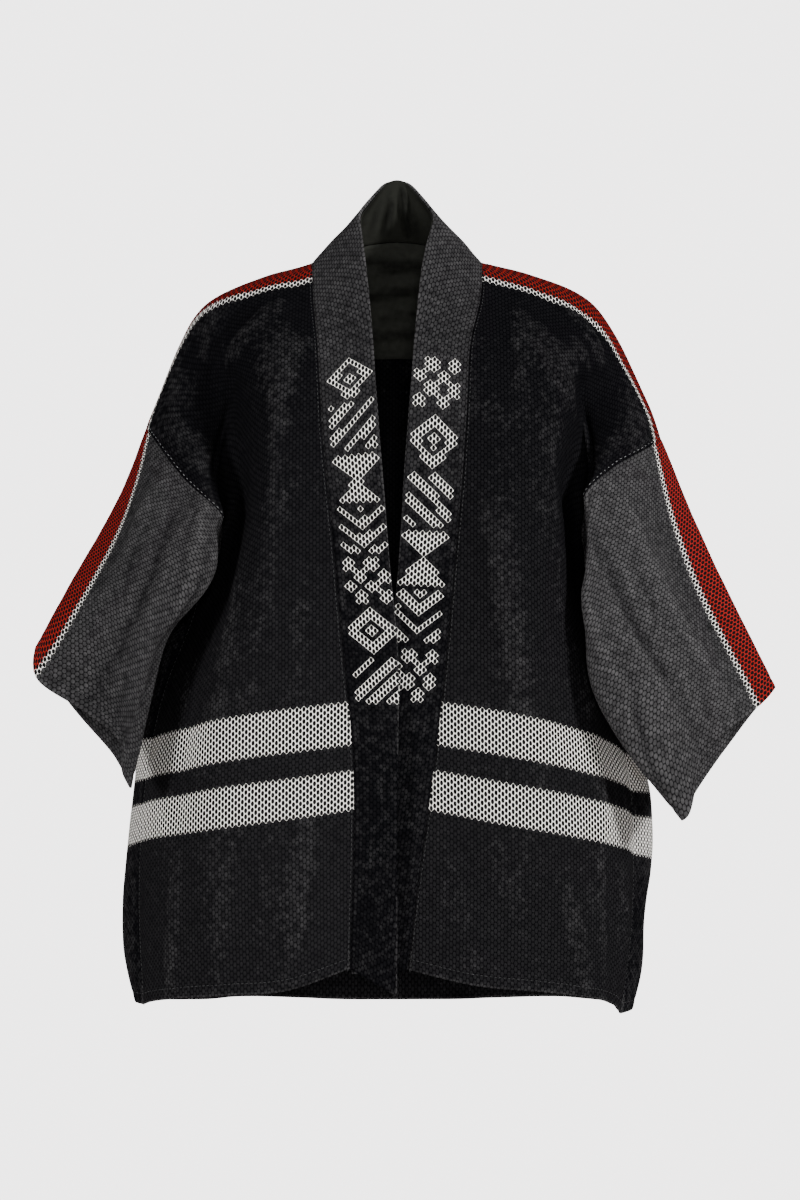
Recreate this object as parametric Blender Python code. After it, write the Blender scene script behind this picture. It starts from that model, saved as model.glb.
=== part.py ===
"""A fireman's jacket: a short T-shaped coat of thick rice-grain cloth, filled out with nobody in it.

The front faces -Y, the viewer's right is +X and up is +Z. The origin is the middle of the neck,
level with the two points where the collar meets the shoulder fold.
Sides are named as the wearer's, so "left" is +X and "right" is -X.
All sizes in the tables are millimetres. Each table has a row for each section of the cloth.
"""
import math
from collections import namedtuple

import bpy
import numpy as np

MM = 0.001

# Walls and seams
CLOTH_WALL = 2.0
HEM_WALL = 2.6
COLLAR_WALL = 3.0
LINING_WALL = 1.0
SEAM_GAP = 0.3
LINING_GAP = 0.5
HEM_TURNED = 11.0
HEM_STEP = 3.0

# The flat cut
FRONT_LENGTH = 767.0
BACK_LENGTH = 790.0
SHOULDER_CLOTH = 283.0
NECK_HALF = 88.0
ARMHOLE_FRONT = 262.0
ARMHOLE_BACK = 262.0
SLEEVE_LENGTH = 290.0
GUSSET_TOP_SHARE = 0.03
GUSSET_DROP = 1.0
SHARP_SEAM = 50.0
ARMPIT_REACH = 75.0
ARMPIT_ROUNDS = 12
# The rims on both sides of a seam are divided the same way, by a direction no seam runs along
RIM_WAY = (0.31, 0.62, 0.72)

# How finely each piece is divided
ACROSS = 20
FRONT_ARMHOLE_ROWS = 15
BACK_ARMHOLE_ROWS = 12
LOWER_ROWS = 12
NECK_COLUMNS = 8
SLEEVE_STEPS = 10
GUSSET_COLUMNS = 4
COLLAR_COLUMNS = 5
LINING_ROWS = 6
LINING_SIDE_COLUMNS = 3

# Where the named columns of a body section lie, as a share of the cloth from the neck line to the edge
SHARES = (0.0, 0.22, 0.42, 0.62, 0.78, 0.90, 1.0)

# The shoulder fold, from the collar to the armhole: share of the way, then its place
Ridge = namedtuple("Ridge", "share x y z")
RIDGE_LEFT = (
    Ridge(0.00, 88, 0, 0),
    Ridge(0.22, 148, 0, -15),
    Ridge(0.42, 201, 0, -39),
    Ridge(0.62, 235, 1, -87),
    Ridge(0.78, 256, 2, -132),
    Ridge(0.90, 268, 1, -160),
    Ridge(1.00, 277, 0, -185),
)
RIDGE_RIGHT = (
    Ridge(0.00, -88, 0, 0),
    Ridge(0.22, -145, 1, -17),
    Ridge(0.42, -199, 2, -42),
    Ridge(0.62, -227, 4, -82),
    Ridge(0.78, -244, 7, -124),
    Ridge(0.90, -254, 8, -150),
    Ridge(1.00, -264, 8, -172),
)

# The front, a row for each level of the cloth below the shoulder fold: the collar seam, the chest,
# where the front starts to turn back, the bottom of the fold at the armpit, the rise out of it,
# and the side seam. Above the armpit the last column is the armhole, so it is None there.
Front = namedtuple("Front", "down seam chest turn valley rise side edge")
FRONT_LEFT = (
    Front(60, (86, -42, -42), (148, -47, -54), (199, -52, -80), (224, -38, -116), (242, -44, -150), (252, -50, -176), None),
    Front(130, (74, -85, -95), (135, -96, -104), (177, -95, -122), (192, -50, -148), (203, -60, -184), (207, -82, -212), None),
    Front(200, (70, -108, -162), (130, -119, -171), (162, -110, -184), (181, -64, -200), (192, -58, -220), (195, -74, -240), None),
    Front(232, (68, -112, -194), (128, -123, -203), (157, -115, -216), (168, -74, -236), (178, -54, -254), (187, -50, -264), None),
    Front(262, (66, -116, -224), (126, -127, -232), (156, -118, -246), (168, -84, -270), (179, -54, -287), (189, -34, -290), None),
    Front(350, (58, -120, -309), (119, -132, -317), (158, -119, -330), (178, -84, -350), (189, -56, -366), (194, -43, -374), (198, -29, -380)),
    Front(450, (49, -122, -410), (112, -133, -419), (160, -123, -432), (196, -88, -448), (212, -62, -460), (219, -52, -466), (225, -42, -472)),
    Front(550, (38, -123, -510), (102, -132, -520), (164, -124, -532), (208, -94, -545), (231, -66, -554), (237, -56, -558), (241, -46, -562)),
    Front(604, (31, -123, -564), (96, -132, -576), (162, -126, -588), (209, -98, -600), (233, -69, -609), (239, -58, -613), (243, -47, -617)),
    Front(660, (23, -124, -619), (91, -132, -631), (158, -126, -643), (208, -99, -656), (232, -70, -666), (238, -58, -670), (242, -46, -674)),
    Front(767, (10, -122, -723), (80, -127, -739), (150, -117, -747), (201, -90, -758), (222, -62, -769), (227, -50, -776), (231, -38, -782)),
)
FRONT_RIGHT = (
    Front(60, (-86, -42, -42), (-145, -45, -54), (-188, -40, -80), (-210, -28, -112), (-230, -35, -148), (-240, -39, -172), None),
    Front(130, (-80, -85, -98), (-128, -96, -107), (-154, -78, -120), (-172, -38, -142), (-188, -50, -180), (-200, -76, -212), None),
    Front(200, (-76, -108, -165), (-123, -117, -172), (-143, -98, -184), (-163, -58, -202), (-177, -54, -228), (-180, -72, -254), None),
    Front(232, (-74, -112, -196), (-122, -121, -203), (-142, -106, -216), (-153, -72, -238), (-161, -50, -252), (-170, -44, -262), None),
    Front(262, (-71, -116, -224), (-121, -125, -232), (-142, -110, -246), (-154, -80, -268), (-165, -50, -284), (-179, -30, -290), None),
    Front(350, (-62, -120, -309), (-122, -130, -318), (-152, -113, -331), (-172, -80, -347), (-189, -49, -360), (-202, -31, -367), (-213, -15, -374)),
    Front(450, (-53, -122, -410), (-117, -131, -417), (-164, -118, -426), (-202, -86, -438), (-224, -58, -446), (-234, -44, -450), (-243, -30, -454)),
    Front(550, (-43, -123, -510), (-108, -131, -518), (-172, -121, -527), (-218, -94, -538), (-244, -66, -545), (-253, -54, -548), (-260, -43, -551)),
    Front(604, (-42, -124, -564), (-109, -132, -573), (-173, -124, -582), (-222, -98, -591), (-249, -68, -598), (-257, -56, -601), (-264, -43, -604)),
    Front(660, (-43, -124, -619), (-110, -133, -630), (-174, -127, -640), (-225, -101, -650), (-252, -69, -658), (-260, -56, -661), (-266, -42, -664)),
    Front(767, (-46, -122, -722), (-112, -129, -744), (-174, -118, -750), (-223, -93, -757), (-248, -62, -765), (-256, -49, -769), (-262, -36, -773)),
)

# The back, the same way: the middle seam, the line straight below the neck point, the shoulder
# blade, the fold at the armpit, and the side seam on each side. It is the same on both sides but
# for the edges. At the shoulder fold the first two columns are the neck seam.
Back = namedtuple("Back", "down middle neck blade fold edge_left edge_right")
BACK = (
    Back(60, (0, 79, -22), (85, 50, -33), (160, 49, -56), (229, 50, -118), None, None),
    Back(130, (0, 92, -91), (83, 80, -98), (152, 82, -118), (212, 77, -170), None, None),
    Back(200, (0, 97, -160), (81, 91, -167), (145, 90, -182), (190, 66, -216), None, None),
    Back(262, (0, 98, -222), (80, 94, -228), (142, 90, -243), (182, 58, -278), None, None),
    Back(350, (0, 98, -311), (80, 95, -316), (144, 86, -326), (190, 52, -346), (208, 12, -382), (-226, 44, -374)),
    Back(450, (0, 98, -413), (80, 96, -416), (152, 86, -424), (206, 60, -442), (235, 24, -472), (-252, 50, -456)),
    Back(550, (0, 98, -516), (81, 97, -518), (160, 88, -525), (218, 64, -541), (254, 31, -562), (-266, 44, -552)),
    Back(660, (0, 98, -632), (81, 97, -633), (161, 90, -639), (220, 66, -654), (252, 33, -676), (-276, 42, -668)),
    Back(790, (0, 96, -791), (80, 95, -790), (158, 88, -786), (214, 62, -785), (240, 28, -784), (-268, 34, -780)),
)
NECK_SEAM = ((0, 56, 30), (34, 53, 26), (64, 38, 15), (82, 16, 4), (88, 0, 0))

# The furthest point out of each side gusset, a row for each level of the cloth
Gusset = namedtuple("Gusset", "down x_left y_left x_right y_right")
GUSSETS = (
    Gusset(262, 200, -6, -195, -6),
    Gusset(300, 200, -8, -204, 4),
    Gusset(350, 210, -10, -232, 14),
    Gusset(450, 243, -8, -265, 10),
    Gusset(550, 269, -4, -278, 2),
    Gusset(604, 269, -4, -285, 2),
    Gusset(660, 260, -4, -289, 2),
    Gusset(720, 259, -4, -288, 2),
    Gusset(767, 248, -4, -276, 2),
)

# The sleeves, a row for each section from the armhole to the cuff: the fold on top, down the front
# by four points to the fold underneath, and up the back by three.
Sleeve = namedtuple("Sleeve", "along top brow face crest turn under low_back back high_back")
ROUND = (0.0, 0.09, 0.22, 0.34, 0.43, 0.5, 0.62, 0.76, 0.90)
SLEEVE_LEFT = (
    Sleeve(0, (277, 0, -185), (262, -40, -196), (218, -80, -221), (188, -106, -250), (196, -58, -265), (201, -14, -285), (220, 32, -278), (233, 76, -240), (262, 58, -190)),
    Sleeve(70, (302, -4, -245), (281, -34, -262), (238, -88, -291), (191, -118, -324), (193, -106, -346), (208, -78, -357), (224, -12, -348), (250, 42, -312), (286, 40, -262)),
    Sleeve(150, (335, -20, -322), (304, -46, -341), (256, -99, -368), (207, -127, -404), (192, -128, -426), (194, -112, -434), (226, -52, -432), (275, 14, -392), (318, 20, -346)),
    Sleeve(225, (366, -31, -389), (336, -56, -407), (286, -107, -442), (246, -130, -480), (231, -131, -500), (231, -117, -507), (264, -66, -500), (310, -12, -462), (352, -4, -414)),
    Sleeve(290, (391, -40, -444), (376, -54, -460), (310, -94, -508), (296, -120, -552), (290, -126, -570), (284, -117, -575), (306, -70, -548), (346, -26, -502), (381, -24, -458)),
)
SLEEVE_RIGHT = (
    Sleeve(0, (-264, 8, -172), (-250, -33, -190), (-214, -76, -234), (-175, -107, -270), (-184, -60, -280), (-196, -14, -293), (-212, 32, -276), (-222, 74, -238), (-250, 60, -184)),
    Sleeve(70, (-284, -2, -230), (-271, -38, -245), (-254, -80, -266), (-206, -115, -298), (-180, -107, -328), (-207, -74, -352), (-226, -12, -342), (-245, 42, -306), (-274, 40, -248)),
    Sleeve(150, (-313, -24, -291), (-295, -58, -308), (-263, -97, -332), (-238, -118, -364), (-232, -104, -388), (-235, -72, -395), (-252, -18, -378), (-280, 18, -344), (-304, 12, -308)),
    Sleeve(225, (-343, -43, -348), (-328, -70, -366), (-297, -95, -388), (-269, -110, -430), (-256, -111, -456), (-251, -92, -470), (-274, -48, -446), (-310, -16, -408), (-338, -18, -368)),
    Sleeve(290, (-369, -60, -400), (-370, -70, -432), (-318, -90, -466), (-276, -110, -498), (-275, -117, -526), (-267, -101, -545), (-288, -68, -514), (-330, -46, -470), (-364, -46, -424)),
)

# The free edge of the collar, a row for each level of the front
Collar = namedtuple("Collar", "down free_left free_right")
COLLAR = (
    Collar(0, (40, 2, 50), (-40, 2, 51)),
    Collar(60, (27, -40, -4), (-33, -38, -1)),
    Collar(130, (18, -88, -88), (-25, -84, -84)),
    Collar(200, (13, -111, -155), (-20, -110, -152)),
    Collar(262, (8, -120, -222), (-15, -121, -220)),
    Collar(350, (3, -122, -306), (-8, -128, -309)),
    Collar(450, (-7, -120, -408), (1, -130, -410)),
    Collar(550, (-18, -119, -510), (1, -131, -510)),
    Collar(660, (-33, -118, -622), (0, -132, -624)),
    Collar(767, (-45, -116, -728), (0, -130, -748)),
)
COLLAR_BACK = ((0, 64, 97), (12, 60, 94), (25, 46, 78), (34, 24, 63), (40, 2, 50))

# Soft folds on the body: side, share across and level down at each end, half width and height
Fold = namedtuple("Fold", "side share_a down_a share_b down_b half height")
FOLDS = (
    Fold(1, 0.05, 40, 0.13, 190, 9, -5.0),
    Fold(1, 0.12, 35, 0.46, 118, 12, -6.0),
    Fold(1, 0.10, 190, 0.20, 420, 20, 2.5),
    Fold(-1, 0.06, 28, 0.07, 100, 9, -5.0),
    Fold(-1, 0.10, 110, 0.24, 250, 15, 3.5),
    Fold(-1, 0.16, 40, 0.50, 100, 13, -5.0),
    Fold(1, 0.74, 620, 0.97, 760, 12, 2.5),
    Fold(-1, 0.60, 560, 0.52, 740, 18, -3.0),
    Fold(1, 0.45, 560, 0.40, 750, 24, -3.0),
)


def smooth(knots, values, at):
    """A soft curve through the values at the knots, read at the places asked for."""
    knots = np.asarray(knots, float)
    values = np.asarray(values, float)
    at = np.clip(np.asarray(at, float), knots[0], knots[-1])
    step = np.diff(knots)
    rise = np.diff(values, axis=0) / step.reshape((-1,) + (1,) * (values.ndim - 1))
    slope = np.empty_like(values)
    slope[0] = rise[0]
    slope[-1] = rise[-1]
    for i in range(1, len(knots) - 1):
        before = step[i - 1]
        after = step[i]
        slope[i] = (rise[i - 1] * after + rise[i] * before) / (before + after)
    i = np.clip(np.searchsorted(knots, at, side="right") - 1, 0, len(knots) - 2)
    width = step[i]
    t = (at - knots[i]) / width
    shape = at.shape + (1,) * (values.ndim - 1)
    t = t.reshape(shape)
    width = width.reshape(shape)
    h00 = 2 * t**3 - 3 * t**2 + 1
    h10 = t**3 - 2 * t**2 + t
    h01 = -2 * t**3 + 3 * t**2
    h11 = t**3 - t**2
    return h00 * values[i] + h10 * width * slope[i] + h01 * values[i + 1] + h11 * width * slope[i + 1]


def soft_loop(knots, values, at):
    """The same for a closed loop whose knots run from 0 to 1."""
    knots = list(knots)
    values = [np.asarray(v, float) for v in values]
    around = [k - 1 for k in knots[-3:]] + knots + [k + 1 for k in knots[:3]]
    points = values[-3:] + values + values[:3]
    return smooth(around, np.array(points), np.mod(at, 1.0))


class SleeveForm:
    """One sleeve as a surface over its length and the way round it, 0 and 1 at the top fold."""

    def __init__(self, rows):
        self.along = [r.along for r in rows]
        self.loops = [[np.array(p, float) for p in r[1:]] for r in rows]

    def at(self, along, around):
        around = np.atleast_1d(np.asarray(around, float))
        rings = np.array([soft_loop(ROUND, loop, around) for loop in self.loops])
        return smooth(self.along, rings, np.atleast_1d(along))


def around_of(level):
    """The place round the armhole beside a level of the body's cloth. The gusset's top is left free."""
    reach = 0.5 - GUSSET_TOP_SHARE / 2
    if level >= 0:
        return reach * min(level / ARMHOLE_FRONT, 1.0)
    return 1.0 - reach * min(-level / ARMHOLE_BACK, 1.0)


class BodyForm:
    """One half of the body as a surface over the share across and the level down the cloth.

    The level is above 0 in front, 0 at the shoulder fold and below 0 at the back.
    """

    def __init__(self, side, fronts, ridge, sleeve):
        self.side = side
        self.sleeve = sleeve
        self.fronts = fronts
        self.neck = np.array([(side * x, y, z) for x, y, z in NECK_SEAM], float)
        levels = []
        rows = []
        edges = []
        edge_levels = []
        for row in reversed(BACK):
            edge = row.edge_left if side > 0 else row.edge_right
            points = [np.array((side * p[0], p[1], p[2]), float) for p in (row.neck, row.blade, row.fold)]
            if edge is None:
                end = self.armhole(-row.down)
            else:
                end = np.array(edge, float)
                edges.append(end)
                edge_levels.append(-float(row.down))
            levels.append(-float(row.down))
            rows.append(smooth((0.0, 0.33, 0.70, 1.0), points + [end], SHARES))
        start_front = len(edges)
        levels.append(0.0)
        rows.append(np.array([r[1:] for r in ridge], float))
        for row in fronts:
            points = [np.array(p, float) for p in row[1:7]]
            if row.edge is None:
                end = self.armhole(row.down)
            else:
                end = np.array(row.edge, float)
                edges.append(end)
                edge_levels.append(float(row.down))
            levels.append(float(row.down))
            rows.append(np.array(points + [end]))
        self.levels = levels
        self.rows = np.array(rows)
        low_back = self.armhole(-ARMHOLE_BACK)
        low_front = self.armhole(ARMHOLE_FRONT)
        self.back_edge = (edge_levels[:start_front] + [-ARMHOLE_BACK], edges[:start_front] + [low_back])
        self.front_edge = ([ARMHOLE_FRONT] + edge_levels[start_front:], [low_front] + edges[start_front:])
        self.middle_levels = [-float(r.down) for r in reversed(BACK)] + [0.0]
        self.middle = np.array([r.middle for r in reversed(BACK)] + [NECK_SEAM[0]], float)

    def armhole(self, level):
        """The armhole edge beside a level of the body's cloth."""
        return self.sleeve.at(0.0, around_of(level))[0, 0]

    def edge(self, level):
        """The armhole or side seam at one level."""
        if -ARMHOLE_BACK <= level <= ARMHOLE_FRONT:
            return self.armhole(level)
        knots, values = self.front_edge if level > 0 else self.back_edge
        return smooth(knots, np.array(values), np.array([level]))[0]

    def row(self, level, shares):
        """One row of cloth at a level, at the given shares across."""
        columns = smooth(self.levels, self.rows, np.array([level]))[0]
        columns[-1] = self.edge(level)
        return smooth(SHARES, columns, shares)

    def seam(self, level):
        """The collar seam at one level of the front."""
        return smooth(self.levels, self.rows, np.array([level]))[0][0]

    def inner_row(self, level, shares):
        """The row of the back between the middle seam (0) and the line below the neck point (1)."""
        if level >= 0:
            return smooth((0.0, 0.27, 0.55, 0.85, 1.0), self.neck, shares)
        outer = smooth(self.levels, self.rows, np.array([level]))[0]
        middle = smooth(self.middle_levels, self.middle, np.array([level]))[0]
        near = np.array((self.side * 40.0, 0, 0))
        near[1] = middle[1] - (middle[1] - outer[0][1]) * 0.16
        near[2] = middle[2] + (outer[0][2] - middle[2]) * 0.22
        points = smooth((0.0, 0.45, 1.0, 1.9), np.array([middle, near, outer[0], outer[1]]), np.asarray(shares))
        neck = smooth((0.0, 0.27, 0.55, 0.85, 1.0), self.neck, shares)
        fade = math.exp(-((level / 34.0) ** 2))
        return points * (1 - fade) + (neck + (points - points[-1:]) * 0 + self.fall(level, shares)) * fade

    def fall(self, level, shares):
        """How far the back has fallen from the neck seam just below it."""
        shares = np.asarray(shares, float).reshape(-1, 1)
        top_middle = self.middle[-1]
        top_outer = self.neck[-1]
        middle = smooth(self.middle_levels, self.middle, np.array([level]))[0] - top_middle
        outer = smooth(self.levels, self.rows, np.array([level]))[0][0] - top_outer
        return middle * (1 - shares) + outer * shares


def fold_height(side, share, level):
    """How far the folds push one point of the front out."""
    total = 0.0
    here = np.array((share * SHOULDER_CLOTH, level))
    for f in FOLDS:
        if f.side != side:
            continue
        a = np.array((f.share_a * SHOULDER_CLOTH, f.down_a))
        b = np.array((f.share_b * SHOULDER_CLOTH, f.down_b))
        run = b - a
        t = float(np.dot(here - a, run) / np.dot(run, run))
        near = min(max(t, 0.0), 1.0)
        away = float(np.linalg.norm(here - a - run * near)) / f.half
        ends = math.sin(math.pi * (0.12 + 0.76 * near)) ** 0.7
        total += f.height * ends * math.exp(-away * away)
    return total


class Patchwork:
    """Points and four-sided faces of one piece of cloth, joined where patches share points."""

    def __init__(self):
        self.points = []
        self.faces = []
        self.walls = []
        self.pinned = {}
        self.pull = {}
        self.back = {}

    def add(self, point, wall):
        self.points.append(np.array(point, float))
        self.walls.append(wall)
        return len(self.points) - 1

    def weave(self, grid):
        """Faces over a grid of point numbers."""
        for j in range(len(grid) - 1):
            for i in range(len(grid[0]) - 1):
                self.faces.append((grid[j][i], grid[j][i + 1], grid[j + 1][i + 1], grid[j + 1][i]))

    def normals(self):
        points = np.array(self.points)
        normals = np.zeros_like(points)
        for a, b, c, d in self.faces:
            n = np.cross(points[c] - points[a], points[d] - points[b])
            for k in (a, b, c, d):
                normals[k] += n
        normals /= np.linalg.norm(normals, axis=1, keepdims=True)
        for k, n in self.pinned.items():
            normals[k] = n
        return normals


def inward_of(cloth):
    """For each point, the way to the middle of the faces round it: into the piece at its edges."""
    points = np.array(cloth.points)
    total = np.zeros_like(points)
    count = np.zeros((len(points), 1))
    for f in cloth.faces:
        middle = points[list(f)].mean(axis=0)
        for k in f:
            total[k] += middle
            count[k] += 1
    way = total / count - points
    return way / np.maximum(np.linalg.norm(way, axis=1, keepdims=True), 1e-6)


def face_out(cloth, number, direction):
    """Turn the faces round if a point of the piece faces away from the direction given."""
    if np.dot(cloth.normals()[number], direction) < 0:
        cloth.faces = [f[::-1] for f in cloth.faces]
    return cloth


def levels_of(form_end, armhole, armhole_rows, lower_rows, sign):
    """The rows of a body panel: through the armhole, on down, and two more at the turned hem."""
    upper = list(np.linspace(0, armhole, armhole_rows + 1))
    stop = form_end - HEM_TURNED - HEM_STEP
    lower = list(np.linspace(armhole, stop, lower_rows + 1))[1:]
    return [sign * v for v in upper + lower + [form_end - HEM_TURNED, form_end]]


def wall_at(level, end):
    """The wall is thicker where the hem is turned in."""
    return HEM_WALL if abs(level) >= end - HEM_TURNED - 0.01 else CLOTH_WALL


def body_half(form):
    """One half of the body, front and back in one, with its edge rows kept for the seams."""
    shares = np.linspace(0, 1, ACROSS + 1) ** 0.94
    front_levels = levels_of(FRONT_LENGTH, ARMHOLE_FRONT, FRONT_ARMHOLE_ROWS, LOWER_ROWS, 1)
    back_levels = levels_of(BACK_LENGTH, ARMHOLE_BACK, BACK_ARMHOLE_ROWS, LOWER_ROWS, -1)
    cloth = Patchwork()
    grid = {}
    for level in back_levels[::-1] + front_levels[1:]:
        row = form.row(level, shares)
        end = FRONT_LENGTH if level > 0 else BACK_LENGTH
        grid[level] = [cloth.add(p, wall_at(level, end)) for p in row]
    order = back_levels[::-1] + front_levels[1:]
    cloth.weave([grid[v] for v in order])
    inner_shares = np.linspace(0, 1, NECK_COLUMNS + 1)
    inner = []
    for level in back_levels[::-1]:
        row = form.inner_row(level, inner_shares)
        numbers = [cloth.add(p, wall_at(level, BACK_LENGTH)) for p in row[:-1]]
        inner.append(numbers + [grid[level][0]])
    cloth.weave(inner)
    face_out(cloth, grid[front_levels[-5]][3], (0, -1, 0))
    # The folds of the front are pushed out along the cloth's own direction.
    normals = cloth.normals()
    for level in front_levels[1:]:
        for k, share in zip(grid[level], shares):
            if 0 < share < 1:
                push = fold_height(form.side, share, level)
                cloth.points[k] = cloth.points[k] + normals[k] * push
    cloth.grid = grid
    cloth.inner = inner
    cloth.front_levels = front_levels
    cloth.back_levels = back_levels
    return cloth


def sleeve_piece(form, body):
    """A sleeve from the armhole to the cuff, with a point beside each row of the body's armhole."""
    front = [around_of(v) for v in body.front_levels[: FRONT_ARMHOLE_ROWS + 1]]
    back = [around_of(v) for v in body.back_levels[1: BACK_ARMHOLE_ROWS + 1]]
    around = front + back[::-1]
    stop = SLEEVE_LENGTH - HEM_TURNED - HEM_STEP
    along = list(np.linspace(0, stop, SLEEVE_STEPS + 1)) + [SLEEVE_LENGTH - HEM_TURNED, SLEEVE_LENGTH]
    surface = form.at(along, around)
    cloth = Patchwork()
    grid = []
    for j, where in enumerate(along):
        numbers = [cloth.add(p, wall_at(where, SLEEVE_LENGTH)) for p in surface[j]]
        grid.append(numbers + numbers[:1])
    cloth.weave(grid)
    cloth.ring = grid[0][:-1]
    cloth.second = grid[1][:-1]
    return face_out(cloth, grid[5][4], (0, -1, 0))


def gusset_piece(form, body):
    """The strip under the arm, between the side seams of front and back."""
    names = ("x_left", "y_left") if form.side > 0 else ("x_right", "y_right")
    table = [(getattr(g, names[0]), getattr(g, names[1])) for g in GUSSETS]
    cloth = Patchwork()
    grid = []
    front_levels = body.front_levels[FRONT_ARMHOLE_ROWS:]
    back_levels = body.back_levels[BACK_ARMHOLE_ROWS:]
    for front, back in zip(front_levels, back_levels):
        a = form.edge(front)
        b = form.edge(back)
        x, y = smooth([g.down for g in GUSSETS], table, np.array([front]))[0]
        middle = np.array((x, y, (a[2] + b[2]) / 2))
        if front == front_levels[0]:
            # The top is straight, against the armhole seam.
            middle = (a + b) / 2
        points = smooth((0.0, 0.5, 1.0), [a, middle, b], np.linspace(0, 1, GUSSET_COLUMNS + 1))
        grid.append([cloth.add(p, wall_at(front, FRONT_LENGTH)) for p in points])
    cloth.weave(grid)
    cloth.grid = grid
    return face_out(cloth, grid[-3][2], (form.side, 0, 0))


def collar_stations(left, right, left_levels, right_levels):
    """The two edges of the collar from hem to hem: the seam on the body and the free edge."""
    seams = []
    frees = []
    free_levels = [c.down for c in COLLAR]
    free_left = np.array([c.free_left for c in COLLAR], float)
    free_right = np.array([c.free_right for c in COLLAR], float)
    back = np.array(COLLAR_BACK, float)
    for level in reversed(right_levels):
        seams.append(right.seam(level))
        frees.append(smooth(free_levels, free_right, np.array([level]))[0])
    shares = np.linspace(0, 1, NECK_COLUMNS + 1)
    knots = (0.0, 0.27, 0.55, 0.85, 1.0)
    left_neck = smooth(knots, left.neck, shares)
    right_neck = smooth(knots, right.neck, shares)
    left_free = smooth(knots, back, shares)
    right_free = left_free * np.array((-1.0, 1.0, 1.0))
    for k in range(NECK_COLUMNS - 1, -1, -1):
        seams.append(right_neck[k])
        frees.append(right_free[k])
    for k in range(1, NECK_COLUMNS + 1):
        seams.append(left_neck[k])
        frees.append(left_free[k])
    for level in left_levels[1:]:
        seams.append(left.seam(level))
        frees.append(smooth(free_levels, free_left, np.array([level]))[0])
    return np.array(seams), np.array(frees)


def collar_piece(seams, frees):
    """The doubled strip of the collar, a little fuller in the middle of its width."""
    cloth = Patchwork()
    grid = []
    for a, b in zip(seams, frees):
        row = []
        for share in np.linspace(0, 1, COLLAR_COLUMNS + 1):
            row.append(cloth.add(a + (b - a) * share, COLLAR_WALL))
        grid.append(row)
    cloth.weave(grid)
    cloth.grid = grid
    return face_out(cloth, grid[2][2], (0, -1, 0))


def solid(name, cloth, colour, roughness):
    """Close a piece of cloth: its points moved half a wall out and in, and a rim round its edges."""
    normals = cloth.normals()
    points = np.array(cloth.points)
    half = np.array(cloth.walls).reshape(-1, 1) / 2
    outside = points + normals * half
    inside = points - normals * half
    count = len(points)
    faces = []
    for a, b, c, d in cloth.faces:
        if np.linalg.norm(points[a] - points[c]) <= np.linalg.norm(points[b] - points[d]):
            corners = ((a, b, c), (a, c, d))
        else:
            corners = ((a, b, d), (b, c, d))
        for one, two, three in corners:
            faces.append((one, two, three))
            faces.append((three + count, two + count, one + count))
    uses = {}
    for f in cloth.faces:
        for k in range(4):
            edge = (f[k], f[(k + 1) % 4])
            uses[edge] = True
    for a, b in uses:
        if (b, a) in uses:
            continue
        if np.dot(points[b] - points[a], RIM_WAY) > 0:
            faces.append((b, a, a + count))
            faces.append((b, a + count, b + count))
        else:
            faces.append((b, a, b + count))
            faces.append((a, a + count, b + count))
    vertices = np.vstack([outside, inside]) * MM
    mesh = bpy.data.meshes.new(name)
    mesh.from_pydata([tuple(v) for v in vertices], [], faces)
    mesh.validate()
    mesh.update()
    piece = bpy.data.objects.new(name, mesh)
    bpy.context.scene.collection.objects.link(piece)
    material = bpy.data.materials.new(name + "_cloth")
    material.use_nodes = True
    shader = material.node_tree.nodes["Principled BSDF"]
    shader.inputs["Base Color"].default_value = (*colour, 1.0)
    shader.inputs["Roughness"].default_value = roughness
    mesh.materials.append(material)
    return piece


def draw_in(cloth, numbers, inward):
    """Move an edge straight back from its seam, across the cloth. The numbers run along the seam."""
    directions = cloth.normals()
    places = [cloth.points[k] for k in numbers]
    last = len(numbers) - 1
    moved = []
    for i, (k, beside) in enumerate(zip(numbers, inward)):
        along = places[min(i + 1, last)] - places[max(i - 1, 0)]
        along = along / np.linalg.norm(along)
        way = np.cross(directions[k], along)
        way = way / np.linalg.norm(way)
        if np.dot(way, cloth.points[beside] - places[i]) < 0:
            way = -way
        moved.append(places[i] + way * cloth.pull.get(k, SEAM_GAP / 2))
    for k, place in zip(numbers, moved):
        cloth.points[k] = place


def match_seams(groups):
    """Fit the sides of a seam to each other.

    Where the sides lie nearly level they share one direction, so that their walls meet face to face.
    Where they meet at a sharp angle each keeps its own and lies back by half its wall, so that the
    surfaces that face each other only meet at the seam.
    """
    for group in groups:
        found = [piece.found[number] for piece, number in group]
        least = min(float(np.dot(a, b)) for a in found for b in found)
        if least > math.cos(math.radians(SHARP_SEAM)):
            normal = sum(found)
            normal = normal / np.linalg.norm(normal)
            for piece, number in group:
                piece.pinned[number] = normal
            continue
        half_turn = math.acos(max(-1.0, min(1.0, least))) / 2
        lean = 0.0
        for one, a in group:
            for other, b in group:
                if one is not other:
                    lean += float(np.dot(one.found[a], other.inward[b]))
        way = 1.0 if lean > 0 else -1.0
        for piece, number in group:
            own = piece.found[number]
            like = sum(f for f in found if float(np.dot(f, own)) > math.cos(math.radians(SHARP_SEAM)))
            like = like / np.linalg.norm(like)
            piece.pinned[number] = like
            piece.pull[number] = SEAM_GAP / 2 * math.cos(half_turn) + 0.05
            back = piece.walls[number] / 2 + SEAM_GAP / 2 * math.sin(half_turn) + 0.05
            piece.back[number] = -like * way * back


def lie_back(cloth):
    """Apply what match_seams found for the sharp seams."""
    for k, move in cloth.back.items():
        cloth.points[k] = cloth.points[k] + move


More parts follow.
